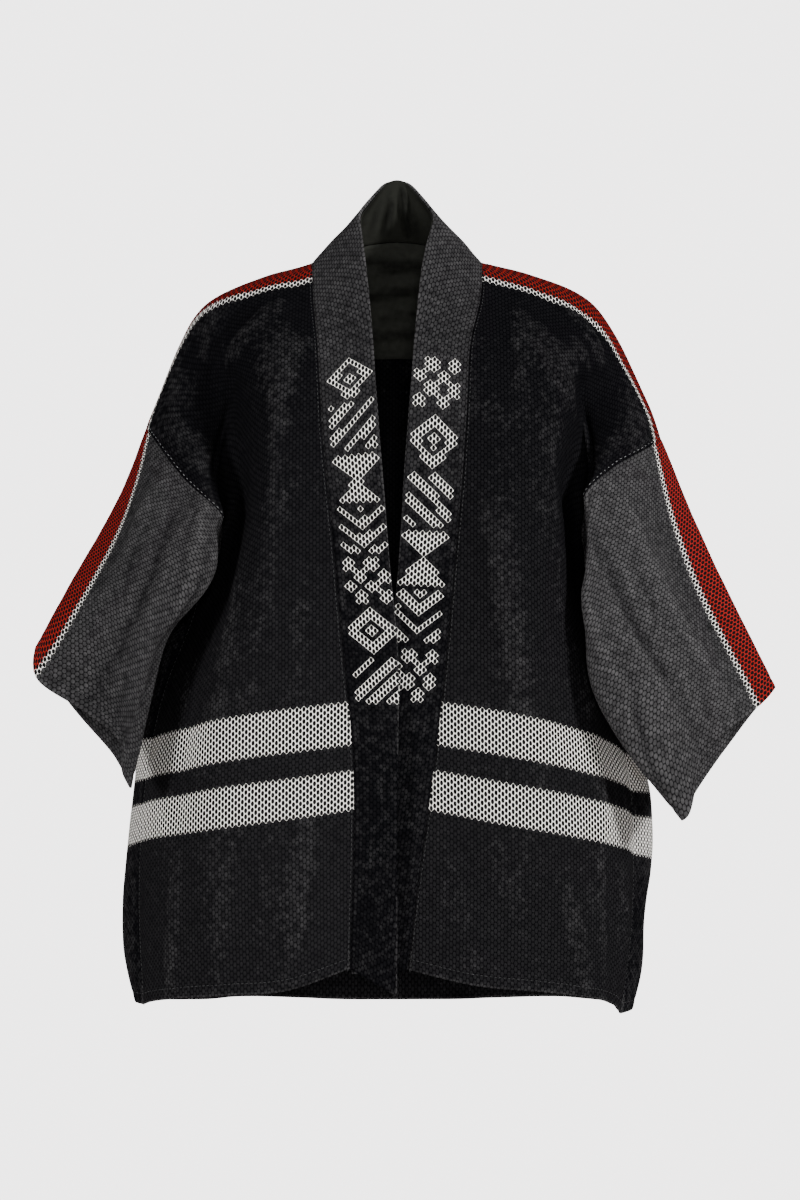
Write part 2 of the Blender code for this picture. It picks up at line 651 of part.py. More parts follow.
def relax(cloth, centre, reach, rounds):
    """Let the cloth near a point settle between its neighbours. Its edges stay."""
    uses = {}
    for f in cloth.faces:
        for k in range(4):
            pair = (f[k], f[(k + 1) % 4])
            uses[tuple(sorted(pair))] = uses.get(tuple(sorted(pair)), 0) + 1
    beside = {}
    edge = set()
    for (a, b), count in uses.items():
        beside.setdefault(a, []).append(b)
        beside.setdefault(b, []).append(a)
        if count == 1:
            edge.update((a, b))
    points = np.array(cloth.points)
    away = np.linalg.norm(points - np.array(centre), axis=1)
    chosen = [k for k in beside if k not in edge and away[k] < reach]
    for _ in range(rounds):
        moved = {}
        for k in chosen:
            middle = np.mean([cloth.points[n] for n in beside[k]], axis=0)
            share = min(1.0, 1.6 * (1 - away[k] / reach)) * 0.6
            moved[k] = cloth.points[k] + (middle - cloth.points[k]) * share
        for k, place in moved.items():
            cloth.points[k] = place


def armhole_groups(body, sleeve, gusset):
    """The points that meet round an armhole, side by side."""
    front = body.front_levels[: FRONT_ARMHOLE_ROWS + 1]
    back = body.back_levels[1: BACK_ARMHOLE_ROWS + 1][::-1]
    numbers = [body.grid[v][-1] for v in front + back]
    groups = [[(body, a), (sleeve, b)] for a, b in zip(numbers, sleeve.ring)]
    groups[len(front) - 1].append((gusset, gusset.grid[0][0]))
    groups[len(front)].append((gusset, gusset.grid[0][-1]))
    return groups


def side_groups(body, gusset):
    """The points that meet down the two side seams."""
    groups = []
    fronts = body.front_levels[FRONT_ARMHOLE_ROWS + 1:]
    backs = body.back_levels[BACK_ARMHOLE_ROWS + 1:]
    for row, (f, b) in enumerate(zip(fronts, backs), start=1):
        groups.append([(body, body.grid[f][-1]), (gusset, gusset.grid[row][0])])
        groups.append([(body, body.grid[b][-1]), (gusset, gusset.grid[row][-1])])
    return groups


def collar_groups(bodies, collar):
    """The points that meet along the collar seam, from the right hem round the neck to the left hem."""
    numbers = []
    for v in reversed(bodies[-1].front_levels):
        numbers.append((bodies[-1], bodies[-1].grid[v][0]))
    for k in range(NECK_COLUMNS - 1, -1, -1):
        numbers.append((bodies[-1], bodies[-1].inner[-1][k]))
    for k in range(1, NECK_COLUMNS):
        numbers.append((bodies[1], bodies[1].inner[-1][k]))
    for v in bodies[1].front_levels:
        numbers.append((bodies[1], bodies[1].grid[v][0]))
    groups = [[pair, (collar, row[0])] for pair, row in zip(numbers, collar.grid)]
    groups[len(bodies[-1].front_levels) + NECK_COLUMNS - 1].append((bodies[1], bodies[1].inner[-1][0]))
    return groups


def lining_grid(bodies):
    """The back's own points from armhole side to armhole side, for the patch below the neck."""
    right = bodies[-1]
    left = bodies[1]
    rows = []
    for j, level in enumerate(right.back_levels[: LINING_ROWS + 1]):
        index = len(right.inner) - 1 - j
        row = [(right, right.grid[level][k]) for k in range(LINING_SIDE_COLUMNS, -1, -1)]
        row += [(right, right.inner[index][k]) for k in range(NECK_COLUMNS - 1, -1, -1)]
        row += [(left, left.inner[index][k]) for k in range(1, NECK_COLUMNS)]
        row += [(left, left.grid[level][k]) for k in range(0, LINING_SIDE_COLUMNS + 1)]
        rows.append(row)
    return rows


def lining_piece(rows, wall_beside, top_share):
    """A thin lining on the inside of other pieces' points, starting a little below the top row."""
    cloth = Patchwork()
    move = wall_beside / 2 + LINING_GAP + LINING_WALL / 2
    places = []
    for row in rows:
        places.append([piece.points[k] - piece.final[k] * move for piece, k in row])
    places[0] = [a + (b - a) * top_share for a, b in zip(places[0], places[1])]
    grid = [[cloth.add(p, LINING_WALL) for p in row] for row in places]
    cloth.weave(grid)
    cloth.grid = grid
    return cloth


def build():
    """Make every piece, match their seams and close them."""
    forms = {}
    bodies = {}
    sleeves = {}
    gussets = {}
    tables = ((1, FRONT_LEFT, RIDGE_LEFT, SLEEVE_LEFT), (-1, FRONT_RIGHT, RIDGE_RIGHT, SLEEVE_RIGHT))
    for side, fronts, ridge, rows in tables:
        sleeve_form = SleeveForm(rows)
        forms[side] = BodyForm(side, fronts, ridge, sleeve_form)
        bodies[side] = body_half(forms[side])
        sleeves[side] = sleeve_piece(sleeve_form, bodies[side])
        gussets[side] = gusset_piece(forms[side], bodies[side])
    levels = bodies[1].front_levels
    seams, frees = collar_stations(forms[1], forms[-1], levels, levels)
    collar = collar_piece(seams, frees)
    pieces = [collar] + [group[s] for group in (bodies, sleeves, gussets) for s in (1, -1)]
    for side in (1, -1):
        for level in (ARMHOLE_FRONT, -ARMHOLE_BACK):
            relax(bodies[side], forms[side].edge(level), ARMPIT_REACH, ARMPIT_ROUNDS)
    for piece in pieces:
        piece.found = piece.normals()
        piece.inward = inward_of(piece)
    match_seams(collar_groups(bodies, collar))
    middle = collar.grid[len(levels) + NECK_COLUMNS - 1][0]
    nape = collar.found[middle] + bodies[1].found[bodies[1].inner[-1][0]]
    nape = nape + bodies[-1].found[bodies[-1].inner[-1][0]]
    nape = nape * np.array((0.0, 1.0, 1.0))
    nape = nape / np.linalg.norm(nape)
    collar.pinned[middle] = nape
    for side in (1, -1):
        body = bodies[side]
        sleeve = sleeves[side]
        gusset = gussets[side]
        match_seams(armhole_groups(body, sleeve, gusset))
        match_seams(side_groups(body, gusset))
        for row in body.inner:
            straight = body.found[row[0]] * np.array((0.0, 1.0, 1.0))
            body.pinned[row[0]] = straight / np.linalg.norm(straight)
        body.pinned[body.inner[-1][0]] = nape
        order = sorted(body.grid)
        top = body.inner[-1][:-1]
        below = body.inner[-2][:-1]
        fronts = [v for v in order if v >= 0]
        draw_in(body, [body.grid[v][-1] for v in order], [body.grid[v][-2] for v in order])
        draw_in(
            body,
            top + [body.grid[v][0] for v in fronts],
            below + [body.grid[v][1] for v in fronts],
        )
        for row in body.inner:
            body.points[row[0]] = body.points[row[0]] + np.array((side * SEAM_GAP / 2, 0, 0))
        draw_in(sleeve, sleeve.ring + sleeve.ring[:1], sleeve.second + sleeve.second[:1])
        for side_column, beside in ((0, 1), (-1, -2)):
            draw_in(gusset, [r[side_column] for r in gusset.grid], [r[beside] for r in gusset.grid])
        for a, b in zip(gusset.grid[0], gusset.grid[1]):
            way = gusset.points[b] - gusset.points[a]
            gusset.points[a] = gusset.points[a] + way * GUSSET_DROP / np.linalg.norm(way)
        top = gusset.grid[0]
        for k in range(1, GUSSET_COLUMNS):
            share = k / GUSSET_COLUMNS
            first = gusset.back.get(top[0], np.zeros(3))
            second = gusset.back.get(top[-1], np.zeros(3))
            gusset.back[top[k]] = first * (1 - share) + second * share
        for piece in (body, sleeve, gusset):
            lie_back(piece)
    draw_in(collar, [row[0] for row in collar.grid], [row[1] for row in collar.grid])
    for piece in (collar, bodies[1], bodies[-1]):
        piece.final = piece.normals()
    patch = lining_piece(lining_grid(bodies), CLOTH_WALL, 0.22)
    face_out(patch, patch.grid[3][NECK_COLUMNS + 3], (0, 1, 0))
    first = len(levels) - 3
    strip = collar.grid[first: len(collar.grid) - first]
    columns = [[(collar, row[k]) for row in strip] for k in range(COLLAR_COLUMNS + 1)]
    facing = lining_piece(columns, COLLAR_WALL, 0.35)
    face_out(facing, facing.grid[2][len(strip) // 2], (0, 1, 0))
    cloth_colour = (0.035, 0.035, 0.038)
    lining_colour = (0.028, 0.029, 0.024)
    solid("collar", collar, (0.03, 0.03, 0.033), 0.85)
    solid("collar_lining", facing, lining_colour, 0.8)
    solid("back_neck_lining", patch, lining_colour, 0.8)
    for side, word in ((1, "left"), (-1, "right")):
        solid("body_" + word, bodies[side], cloth_colour, 0.85)
        solid("sleeve_" + word, sleeves[side], (0.05, 0.05, 0.053), 0.85)
        solid("side_gusset_" + word, gussets[side], (0.04, 0.04, 0.042), 0.85)


for old in list(bpy.data.objects):
    bpy.data.objects.remove(old)
build()
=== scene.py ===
"""The looks of a fireman's jacket: thick rice-grain cloth, its stripes, its woven collar and its stitches.

The cloth is made again from the same tables as the solids, more finely, and carries flat-cloth
coordinates as its UV map, so that the weave lies on it as it would on the cut pieces.
The front faces -Y, +X is the wearer's left and up is +Z. Tables are in millimetres.
"""

import logging
import math
from collections import Counter, namedtuple
from collections.abc import Sequence
from dataclasses import dataclass, field
from enum import Enum

import bpy
import numpy as np
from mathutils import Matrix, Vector, noise
from mathutils.bvhtree import BVHTree


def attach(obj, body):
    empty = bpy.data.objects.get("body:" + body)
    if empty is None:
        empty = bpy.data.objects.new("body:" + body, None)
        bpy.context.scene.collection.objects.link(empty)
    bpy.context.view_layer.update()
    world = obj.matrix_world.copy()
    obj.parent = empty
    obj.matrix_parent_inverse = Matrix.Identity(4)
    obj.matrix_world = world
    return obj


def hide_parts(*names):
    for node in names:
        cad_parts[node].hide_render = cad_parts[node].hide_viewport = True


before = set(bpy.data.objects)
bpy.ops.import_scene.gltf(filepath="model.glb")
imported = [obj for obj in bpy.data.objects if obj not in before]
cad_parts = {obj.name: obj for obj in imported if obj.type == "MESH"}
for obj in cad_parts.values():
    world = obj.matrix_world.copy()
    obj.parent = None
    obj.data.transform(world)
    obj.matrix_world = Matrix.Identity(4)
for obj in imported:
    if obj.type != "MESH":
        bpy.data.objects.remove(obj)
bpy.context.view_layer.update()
log = logging.getLogger("jacket")

Place = np.ndarray
Pair = tuple[float, float]
Shade = tuple[float, float, float]
Colour = Shade | bpy.types.NodeSocket
Groups = dict[str, bpy.types.ShaderNodeTree]

MM = 0.001

# Walls, and how far a sharp seam's sides keep apart. The fine pieces meet at their other seams.
CLOTH_WALL = 2.0
HEM_WALL = 2.6
COLLAR_WALL = 3.0
LINING_WALL = 1.0
SEAM_SLACK = 0.05
LINING_GAP = 0.5
HEM_TURNED = 11.0
HEM_STEP = 3.0

# The flat cut
FRONT_LENGTH = 767.0
BACK_LENGTH = 790.0
SHOULDER_CLOTH = 283.0
EDGE_AT = 371.0
ARMHOLE_FRONT = 262.0
ARMHOLE_BACK = 262.0
SLEEVE_LENGTH = 290.0
GUSSET_TOP_SHARE = 0.03
GUSSET_DROP = 1.0
SHARP_SEAM = 50.0
ARMPIT_REACH = 75.0
ARMPIT_ROUNDS = 12

# How finely each piece is divided
ACROSS = 20
FRONT_ARMHOLE_ROWS = 15
BACK_ARMHOLE_ROWS = 12
LOWER_ROWS = 22
NECK_COLUMNS = 8
SLEEVE_STEPS = 14
GUSSET_COLUMNS = 4
COLLAR_COLUMNS = 5
LINING_ROWS = 6
LINING_SIDE_COLUMNS = 3

# Where the named columns of a body section lie, as a share of the cloth from the neck line to the edge
SHARES = (0.0, 0.22, 0.42, 0.62, 0.78, 0.90, 1.0)
BACK_SHARES = (0.0, 0.33, 0.70, 1.0)
INNER_SHARES = (0.0, 0.45, 1.0, 1.9)
NECK_FADES = 34.0

# The shoulder fold, from the collar to the armhole: share of the way, then its place
Ridge = namedtuple("Ridge", "share x y z")
RIDGE_LEFT = (
    Ridge(0.00, 88, 0, 0),
    Ridge(0.22, 148, 0, -15),
    Ridge(0.42, 201, 0, -39),
    Ridge(0.62, 235, 1, -87),
    Ridge(0.78, 256, 2, -132),
    Ridge(0.90, 268, 1, -160),
    Ridge(1.00, 277, 0, -185),
)
RIDGE_RIGHT = (
    Ridge(0.00, -88, 0, 0),
    Ridge(0.22, -145, 1, -17),
    Ridge(0.42, -199, 2, -42),
    Ridge(0.62, -227, 4, -82),
    Ridge(0.78, -244, 7, -124),
    Ridge(0.90, -254, 8, -150),
    Ridge(1.00, -264, 8, -172),
)

# The front, a row for each level of the cloth below the shoulder fold: the collar seam, the chest,
# where the front starts to turn back, the bottom of the fold at the armpit, the rise out of it,
# and the side seam. Above the armpit the last column is the armhole, so it is None there.
Front = namedtuple("Front", "down seam chest turn valley rise side edge")
FRONT_LEFT = (
    Front(60, (86, -42, -42), (148, -47, -54), (199, -52, -80), (224, -38, -116), (242, -44, -150),
        (252, -50, -176), None),
    Front(130, (74, -85, -95), (135, -96, -104), (177, -95, -122), (192, -50, -148), (203, -60, -184),
        (207, -82, -212), None),
    Front(200, (70, -108, -162), (130, -119, -171), (162, -110, -184), (181, -64, -200),
        (192, -58, -220), (195, -74, -240), None),
    Front(232, (68, -112, -194), (128, -123, -203), (157, -115, -216), (168, -74, -236),
        (178, -54, -254), (187, -50, -264), None),
    Front(262, (66, -116, -224), (126, -127, -232), (156, -118, -246), (168, -84, -270),
        (179, -54, -287), (189, -34, -290), None),
    Front(350, (58, -120, -309), (119, -132, -317), (158, -119, -330), (178, -84, -350),
        (189, -56, -366), (194, -43, -374), (198, -29, -380)),
    Front(450, (49, -122, -410), (112, -133, -419), (160, -123, -432), (196, -88, -448),
        (212, -62, -460), (219, -52, -466), (225, -42, -472)),
    Front(550, (38, -123, -510), (102, -132, -520), (164, -124, -532), (208, -94, -545),
        (231, -66, -554), (237, -56, -558), (241, -46, -562)),
    Front(604, (31, -123, -564), (96, -132, -576), (162, -126, -588), (209, -98, -600),
        (233, -69, -609), (239, -58, -613), (243, -47, -617)),
    Front(660, (23, -124, -619), (91, -132, -631), (158, -126, -643), (208, -99, -656),
        (232, -70, -666), (238, -58, -670), (242, -46, -674)),
    Front(767, (10, -122, -723), (80, -127, -739), (150, -117, -747), (201, -90, -758),
        (222, -62, -769), (227, -50, -776), (231, -38, -782)),
)
FRONT_RIGHT = (
    Front(60, (-86, -42, -42), (-145, -45, -54), (-188, -40, -80), (-210, -28, -112),
        (-230, -35, -148), (-240, -39, -172), None),
    Front(130, (-80, -85, -98), (-128, -96, -107), (-154, -78, -120), (-172, -38, -142),
        (-188, -50, -180), (-200, -76, -212), None),
    Front(200, (-76, -108, -165), (-123, -117, -172), (-143, -98, -184), (-163, -58, -202),
        (-177, -54, -228), (-180, -72, -254), None),
    Front(232, (-74, -112, -196), (-122, -121, -203), (-142, -106, -216), (-153, -72, -238),
        (-161, -50, -252), (-170, -44, -262), None),
    Front(262, (-71, -116, -224), (-121, -125, -232), (-142, -110, -246), (-154, -80, -268),
        (-165, -50, -284), (-179, -30, -290), None),
    Front(350, (-62, -120, -309), (-122, -130, -318), (-152, -113, -331), (-172, -80, -347),
        (-189, -49, -360), (-202, -31, -367), (-213, -15, -374)),
    Front(450, (-53, -122, -410), (-117, -131, -417), (-164, -118, -426), (-202, -86, -438),
        (-224, -58, -446), (-234, -44, -450), (-243, -30, -454)),
    Front(550, (-43, -123, -510), (-108, -131, -518), (-172, -121, -527), (-218, -94, -538),
        (-244, -66, -545), (-253, -54, -548), (-260, -43, -551)),
    Front(604, (-42, -124, -564), (-109, -132, -573), (-173, -124, -582), (-222, -98, -591),
        (-249, -68, -598), (-257, -56, -601), (-264, -43, -604)),
    Front(660, (-43, -124, -619), (-110, -133, -630), (-174, -127, -640), (-225, -101, -650),
        (-252, -69, -658), (-260, -56, -661), (-266, -42, -664)),
    Front(767, (-46, -122, -722), (-112, -129, -744), (-174, -118, -750), (-223, -93, -757),
        (-248, -62, -765), (-256, -49, -769), (-262, -36, -773)),
)

# The back, the same way: the middle seam, the line straight below the neck point, the shoulder
# blade, the fold at the armpit, and the side seam on each side. It is the same on both sides but
# for the edges. At the shoulder fold the first two columns are the neck seam.
Back = namedtuple("Back", "down middle neck blade fold edge_left edge_right")
BACK = (
    Back(60, (0, 79, -22), (85, 50, -33), (160, 49, -56), (229, 50, -118), None, None),
    Back(130, (0, 92, -91), (83, 80, -98), (152, 82, -118), (212, 77, -170), None, None),
    Back(200, (0, 97, -160), (81, 91, -167), (145, 90, -182), (190, 66, -216), None, None),
    Back(262, (0, 98, -222), (80, 94, -228), (142, 90, -243), (182, 58, -278), None, None),
    Back(350, (0, 98, -311), (80, 95, -316), (144, 86, -326), (190, 52, -346), (208, 12, -382),
        (-226, 44, -374)),
    Back(450, (0, 98, -413), (80, 96, -416), (152, 86, -424), (206, 60, -442), (235, 24, -472),
        (-252, 50, -456)),
    Back(550, (0, 98, -516), (81, 97, -518), (160, 88, -525), (218, 64, -541), (254, 31, -562),
        (-266, 44, -552)),
    Back(660, (0, 98, -632), (81, 97, -633), (161, 90, -639), (220, 66, -654), (252, 33, -676),
        (-276, 42, -668)),
    Back(790, (0, 96, -791), (80, 95, -790), (158, 88, -786), (214, 62, -785), (240, 28, -784),
        (-268, 34, -780)),
)
NECK_KNOTS = (0.0, 0.27, 0.55, 0.85, 1.0)
NECK_SEAM = ((0, 56, 30), (34, 53, 26), (64, 38, 15), (82, 16, 4), (88, 0, 0))

# The furthest point out of each side gusset, a row for each level of the cloth
Gusset = namedtuple("Gusset", "down x_left y_left x_right y_right")
GUSSETS = (
    Gusset(262, 200, -6, -195, -6),
    Gusset(300, 200, -8, -204, 4),
    Gusset(350, 210, -10, -232, 14),
    Gusset(450, 243, -8, -265, 10),
    Gusset(550, 269, -4, -278, 2),
    Gusset(604, 269, -4, -285, 2),
    Gusset(660, 260, -4, -289, 2),
    Gusset(720, 259, -4, -288, 2),
    Gusset(767, 248, -4, -276, 2),
)

# The sleeves, a row for each section from the armhole to the cuff: the fold on top, down the front
# by four points to the fold underneath, and up the back by three.
Sleeve = namedtuple("Sleeve", "along top brow face crest turn under low_back back high_back")
ROUND = (0.0, 0.09, 0.22, 0.34, 0.43, 0.5, 0.62, 0.76, 0.90)
SLEEVE_LEFT = (
    Sleeve(0, (277, 0, -185), (262, -40, -196), (218, -80, -221), (188, -106, -250), (196, -58, -265),
        (201, -14, -285), (220, 32, -278), (233, 76, -240), (262, 58, -190)),
    Sleeve(70, (302, -4, -245), (281, -34, -262), (238, -88, -291), (191, -118, -324),
        (193, -106, -346), (208, -78, -357), (224, -12, -348), (250, 42, -312), (286, 40, -262)),
    Sleeve(150, (335, -20, -322), (304, -46, -341), (256, -99, -368), (207, -127, -404),
        (192, -128, -426), (194, -112, -434), (226, -52, -432), (275, 14, -392), (318, 20, -346)),
    Sleeve(225, (366, -31, -389), (336, -56, -407), (286, -107, -442), (246, -130, -480),
        (231, -131, -500), (231, -117, -507), (264, -66, -500), (310, -12, -462), (352, -4, -414)),
    Sleeve(290, (391, -40, -444), (376, -54, -460), (310, -94, -508), (296, -120, -552),
        (290, -126, -570), (284, -117, -575), (306, -70, -548), (346, -26, -502), (381, -24, -458)),
)
SLEEVE_RIGHT = (
    Sleeve(0, (-264, 8, -172), (-250, -33, -190), (-214, -76, -234), (-175, -107, -270),
        (-184, -60, -280), (-196, -14, -293), (-212, 32, -276), (-222, 74, -238), (-250, 60, -184)),
    Sleeve(70, (-284, -2, -230), (-271, -38, -245), (-254, -80, -266), (-206, -115, -298),
        (-180, -107, -328), (-207, -74, -352), (-226, -12, -342), (-245, 42, -306), (-274, 40, -248)),
    Sleeve(150, (-313, -24, -291), (-295, -58, -308), (-263, -97, -332), (-238, -118, -364),
        (-232, -104, -388), (-235, -72, -395), (-252, -18, -378), (-280, 18, -344), (-304, 12, -308)),
    Sleeve(225, (-343, -43, -348), (-328, -70, -366), (-297, -95, -388), (-269, -110, -430),
        (-256, -111, -456), (-251, -92, -470), (-274, -48, -446), (-310, -16, -408), (-338, -18, -368)),
    Sleeve(290, (-369, -60, -400), (-370, -70, -432), (-318, -90, -466), (-276, -110, -498),
        (-275, -117, -526), (-267, -101, -545), (-288, -68, -514), (-330, -46, -470), (-364, -46, -424)),
)

# The free edge of the collar, a row for each level of the front
Collar = namedtuple("Collar", "down free_left free_right")
COLLAR = (
    Collar(0, (40, 2, 50), (-40, 2, 51)),
    Collar(60, (27, -40, -4), (-33, -38, -1)),
    Collar(130, (18, -88, -88), (-25, -84, -84)),
    Collar(200, (13, -111, -155), (-20, -110, -152)),
    Collar(262, (8, -120, -222), (-15, -121, -220)),
    Collar(350, (3, -122, -306), (-8, -128, -309)),
    Collar(450, (-7, -120, -408), (1, -130, -410)),
    Collar(550, (-18, -119, -510), (1, -131, -510)),
    Collar(660, (-33, -118, -622), (0, -132, -624)),
    Collar(767, (-45, -116, -728), (0, -130, -748)),
)
COLLAR_BACK = ((0, 64, 97), (12, 60, 94), (25, 46, 78), (34, 24, 63), (40, 2, 50))

# Soft folds on the body: side, share across and level down at each end, half width and height
Fold = namedtuple("Fold", "side share_a down_a share_b down_b half height")
FOLDS = (
    Fold(1, 0.05, 40, 0.13, 190, 9, -5.0),
    Fold(1, 0.12, 35, 0.46, 118, 12, -6.0),
    Fold(1, 0.10, 190, 0.20, 420, 20, 2.5),
    Fold(-1, 0.06, 28, 0.07, 100, 9, -5.0),
    Fold(-1, 0.10, 110, 0.24, 250, 15, 3.5),
    Fold(-1, 0.16, 40, 0.50, 100, 13, -5.0),
    Fold(1, 0.74, 620, 0.97, 760, 12, 2.5),
    Fold(-1, 0.60, 560, 0.52, 740, 18, -3.0),
    Fold(1, 0.45, 560, 0.40, 750, 24, -3.0),
)


def smooth(knots: Sequence[float], values: Sequence, at: Sequence[float]) -> Place:
    """A soft curve through the values at the knots, read at the places asked for.

    Args:
        knots: Where the values stand, rising.
        values: A number or a place for each knot.
        at: Where to read the curve.

    Returns:
        One value for each place read.
    """
    knots = np.asarray(knots, float)
    values = np.asarray(values, float)
    at = np.clip(np.asarray(at, float), knots[0], knots[-1])
    step = np.diff(knots)
    rise = np.diff(values, axis=0) / step.reshape((-1,) + (1,) * (values.ndim - 1))
    slope = np.empty_like(values)
    slope[0] = rise[0]
    slope[-1] = rise[-1]
    for i in range(1, len(knots) - 1):
        before = step[i - 1]
        after = step[i]
        slope[i] = (rise[i - 1] * after + rise[i] * before) / (before + after)
    i = np.clip(np.searchsorted(knots, at, side="right") - 1, 0, len(knots) - 2)
    width = step[i]
    t = (at - knots[i]) / width
    shape = at.shape + (1,) * (values.ndim - 1)
    t = t.reshape(shape)
    width = width.reshape(shape)
    h00 = 2 * t**3 - 3 * t**2 + 1
    h10 = t**3 - 2 * t**2 + t
    h01 = -2 * t**3 + 3 * t**2
    h11 = t**3 - t**2
    return h00 * values[i] + h10 * width * slope[i] + h01 * values[i + 1] + h11 * width * slope[i + 1]


def soft_loop(knots: Sequence[float], values: Sequence, at: Sequence[float]) -> Place:
    """The same for a closed loop whose knots run from 0 to 1.

    Args:
        knots: Where the values stand round the loop.
        values: A place for each knot.
        at: Where to read the loop.

    Returns:
        One value for each place read.
    """
    knots = list(knots)
    values = [np.asarray(v, float) for v in values]
    around = [k - 1 for k in knots[-3:]] + knots + [k + 1 for k in knots[:3]]
    points = values[-3:] + values + values[:3]
    return smooth(around, np.array(points), np.mod(at, 1.0))


class SleeveForm:
    """One sleeve as a surface over its length and the way round it, 0 and 1 at the top fold."""

    def __init__(self, rows: tuple[Sleeve, ...]) -> None:
        """Take the sections of one sleeve from its table."""
        self.along = [r.along for r in rows]
        self.loops = [[np.array(p, float) for p in r[1:]] for r in rows]

    def at(self, along: float, around: float) -> Place:
        """Read the sleeve's surface.

        Args:
            along: Distance from the armhole, one or many.
            around: Share of the way round, one or many.

        Returns:
            The places, by distance and then by share.
        """
        around = np.atleast_1d(np.asarray(around, float))
        rings = np.array([soft_loop(ROUND, loop, around) for loop in self.loops])
        return smooth(self.along, rings, np.atleast_1d(along))


def around_of(level: float) -> float:
    """The place round the armhole beside a level of the body's cloth. The gusset's top is left free.

    Args:
        level: Level of the body's cloth.

    Returns:
        Share of the way round the sleeve.
    """
    reach = 0.5 - GUSSET_TOP_SHARE / 2
    if level >= 0:
        return reach * min(level / ARMHOLE_FRONT, 1.0)
    return 1.0 - reach * min(-level / ARMHOLE_BACK, 1.0)


class BodyForm:
    """One half of the body as a surface over the share across and the level down the cloth.

    The level is above 0 in front, 0 at the shoulder fold and below 0 at the back.
    """

    def __init__(
        self, side: int, fronts: tuple[Front, ...], ridge: tuple[Ridge, ...], sleeve: SleeveForm,
    ) -> None:
        """Join the tables of back, shoulder fold and front into one surface.

        Args:
            side: 1 for the wearer's left, -1 for the right.
            fronts: Rows of the front.
            ridge: The shoulder fold.
            sleeve: The sleeve that the armhole follows.
        """
        self.side = side
        self.sleeve = sleeve
        self.fronts = fronts
        self.neck = np.array([(side * x, y, z) for x, y, z in NECK_SEAM], float)
        levels = []
        rows = []
        edges = []
        edge_levels = []
        for row in reversed(BACK):
            edge = row.edge_left if side > 0 else row.edge_right
            points = [np.array((side * p[0], p[1], p[2]), float) for p in (row.neck, row.blade, row.fold)]
            if edge is None:
                end = self.armhole(-row.down)
            else:
                end = np.array(edge, float)
                edges.append(end)
                edge_levels.append(-float(row.down))
            levels.append(-float(row.down))
            rows.append(smooth(BACK_SHARES, points + [end], SHARES))
        start_front = len(edges)
        levels.append(0.0)
        rows.append(np.array([r[1:] for r in ridge], float))
        for row in fronts:
            points = [np.array(p, float) for p in row[1:7]]
            if row.edge is None:
                end = self.armhole(row.down)
            else:
                end = np.array(row.edge, float)
                edges.append(end)
                edge_levels.append(float(row.down))
            levels.append(float(row.down))
            rows.append(np.array(points + [end]))
        self.levels = levels
        self.rows = np.array(rows)
        low_back = self.armhole(-ARMHOLE_BACK)
        low_front = self.armhole(ARMHOLE_FRONT)
        self.back_edge = (edge_levels[:start_front] + [-ARMHOLE_BACK], edges[:start_front] + [low_back])
        self.front_edge = ([ARMHOLE_FRONT] + edge_levels[start_front:], [low_front] + edges[start_front:])
        self.middle_levels = [-float(r.down) for r in reversed(BACK)] + [0.0]
        self.middle = np.array([r.middle for r in reversed(BACK)] + [NECK_SEAM[0]], float)

    def armhole(self, level: float) -> Place:
        """The armhole edge beside a level of the body's cloth."""
        return self.sleeve.at(0.0, around_of(level))[0, 0]

    def edge(self, level: float) -> Place:
        """The armhole or side seam at one level.

        Args:
            level: Level of the cloth.

        Returns:
            The place of the edge.
        """
        if -ARMHOLE_BACK <= level <= ARMHOLE_FRONT:
            return self.armhole(level)
        knots, values = self.front_edge if level > 0 else self.back_edge
        return smooth(knots, np.array(values), np.array([level]))[0]

    def row(self, level: float, shares: Sequence[float]) -> Place:
        """One row of cloth at a level.

        Args:
            level: Level of the cloth.
            shares: Shares of the way across.

        Returns:
            A place for each share.
        """
        columns = smooth(self.levels, self.rows, np.array([level]))[0]
        columns[-1] = self.edge(level)
        return smooth(SHARES, columns, shares)

    def seam(self, level: float) -> Place:
        """The collar seam at one level of the front."""
        return smooth(self.levels, self.rows, np.array([level]))[0][0]

    def inner_row(self, level: float, shares: Sequence[float]) -> Place:
        """The row of the back between the middle seam (0) and the line below the neck point (1).

        Args:
            level: Level of the back's cloth.
            shares: Shares of the way across.

        Returns:
            A place for each share.
        """
        if level >= 0:
            return smooth(NECK_KNOTS, self.neck, shares)
        outer = smooth(self.levels, self.rows, np.array([level]))[0]
        middle = smooth(self.middle_levels, self.middle, np.array([level]))[0]
        near = np.array((self.side * 40.0, 0, 0))
        near[1] = middle[1] - (middle[1] - outer[0][1]) * 0.16
        near[2] = middle[2] + (outer[0][2] - middle[2]) * 0.22
        knots = np.array([middle, near, outer[0], outer[1]])
        points = smooth(INNER_SHARES, knots, np.asarray(shares))
        neck = smooth(NECK_KNOTS, self.neck, shares)
        fade = math.exp(-((level / NECK_FADES) ** 2))
        return points * (1 - fade) + (neck + self.fall(level, shares)) * fade

    def fall(self, level: float, shares: Sequence[float]) -> Place:
        """How far the back has fallen from the neck seam just below it.

        Args:
            level: Level of the back's cloth.
            shares: Shares of the way across.

        Returns:
            A move for each share.
        """
        shares = np.asarray(shares, float).reshape(-1, 1)
        top_middle = self.middle[-1]
        top_outer = self.neck[-1]
        middle = smooth(self.middle_levels, self.middle, np.array([level]))[0] - top_middle
        outer = smooth(self.levels, self.rows, np.array([level]))[0][0] - top_outer
        return middle * (1 - shares) + outer * shares


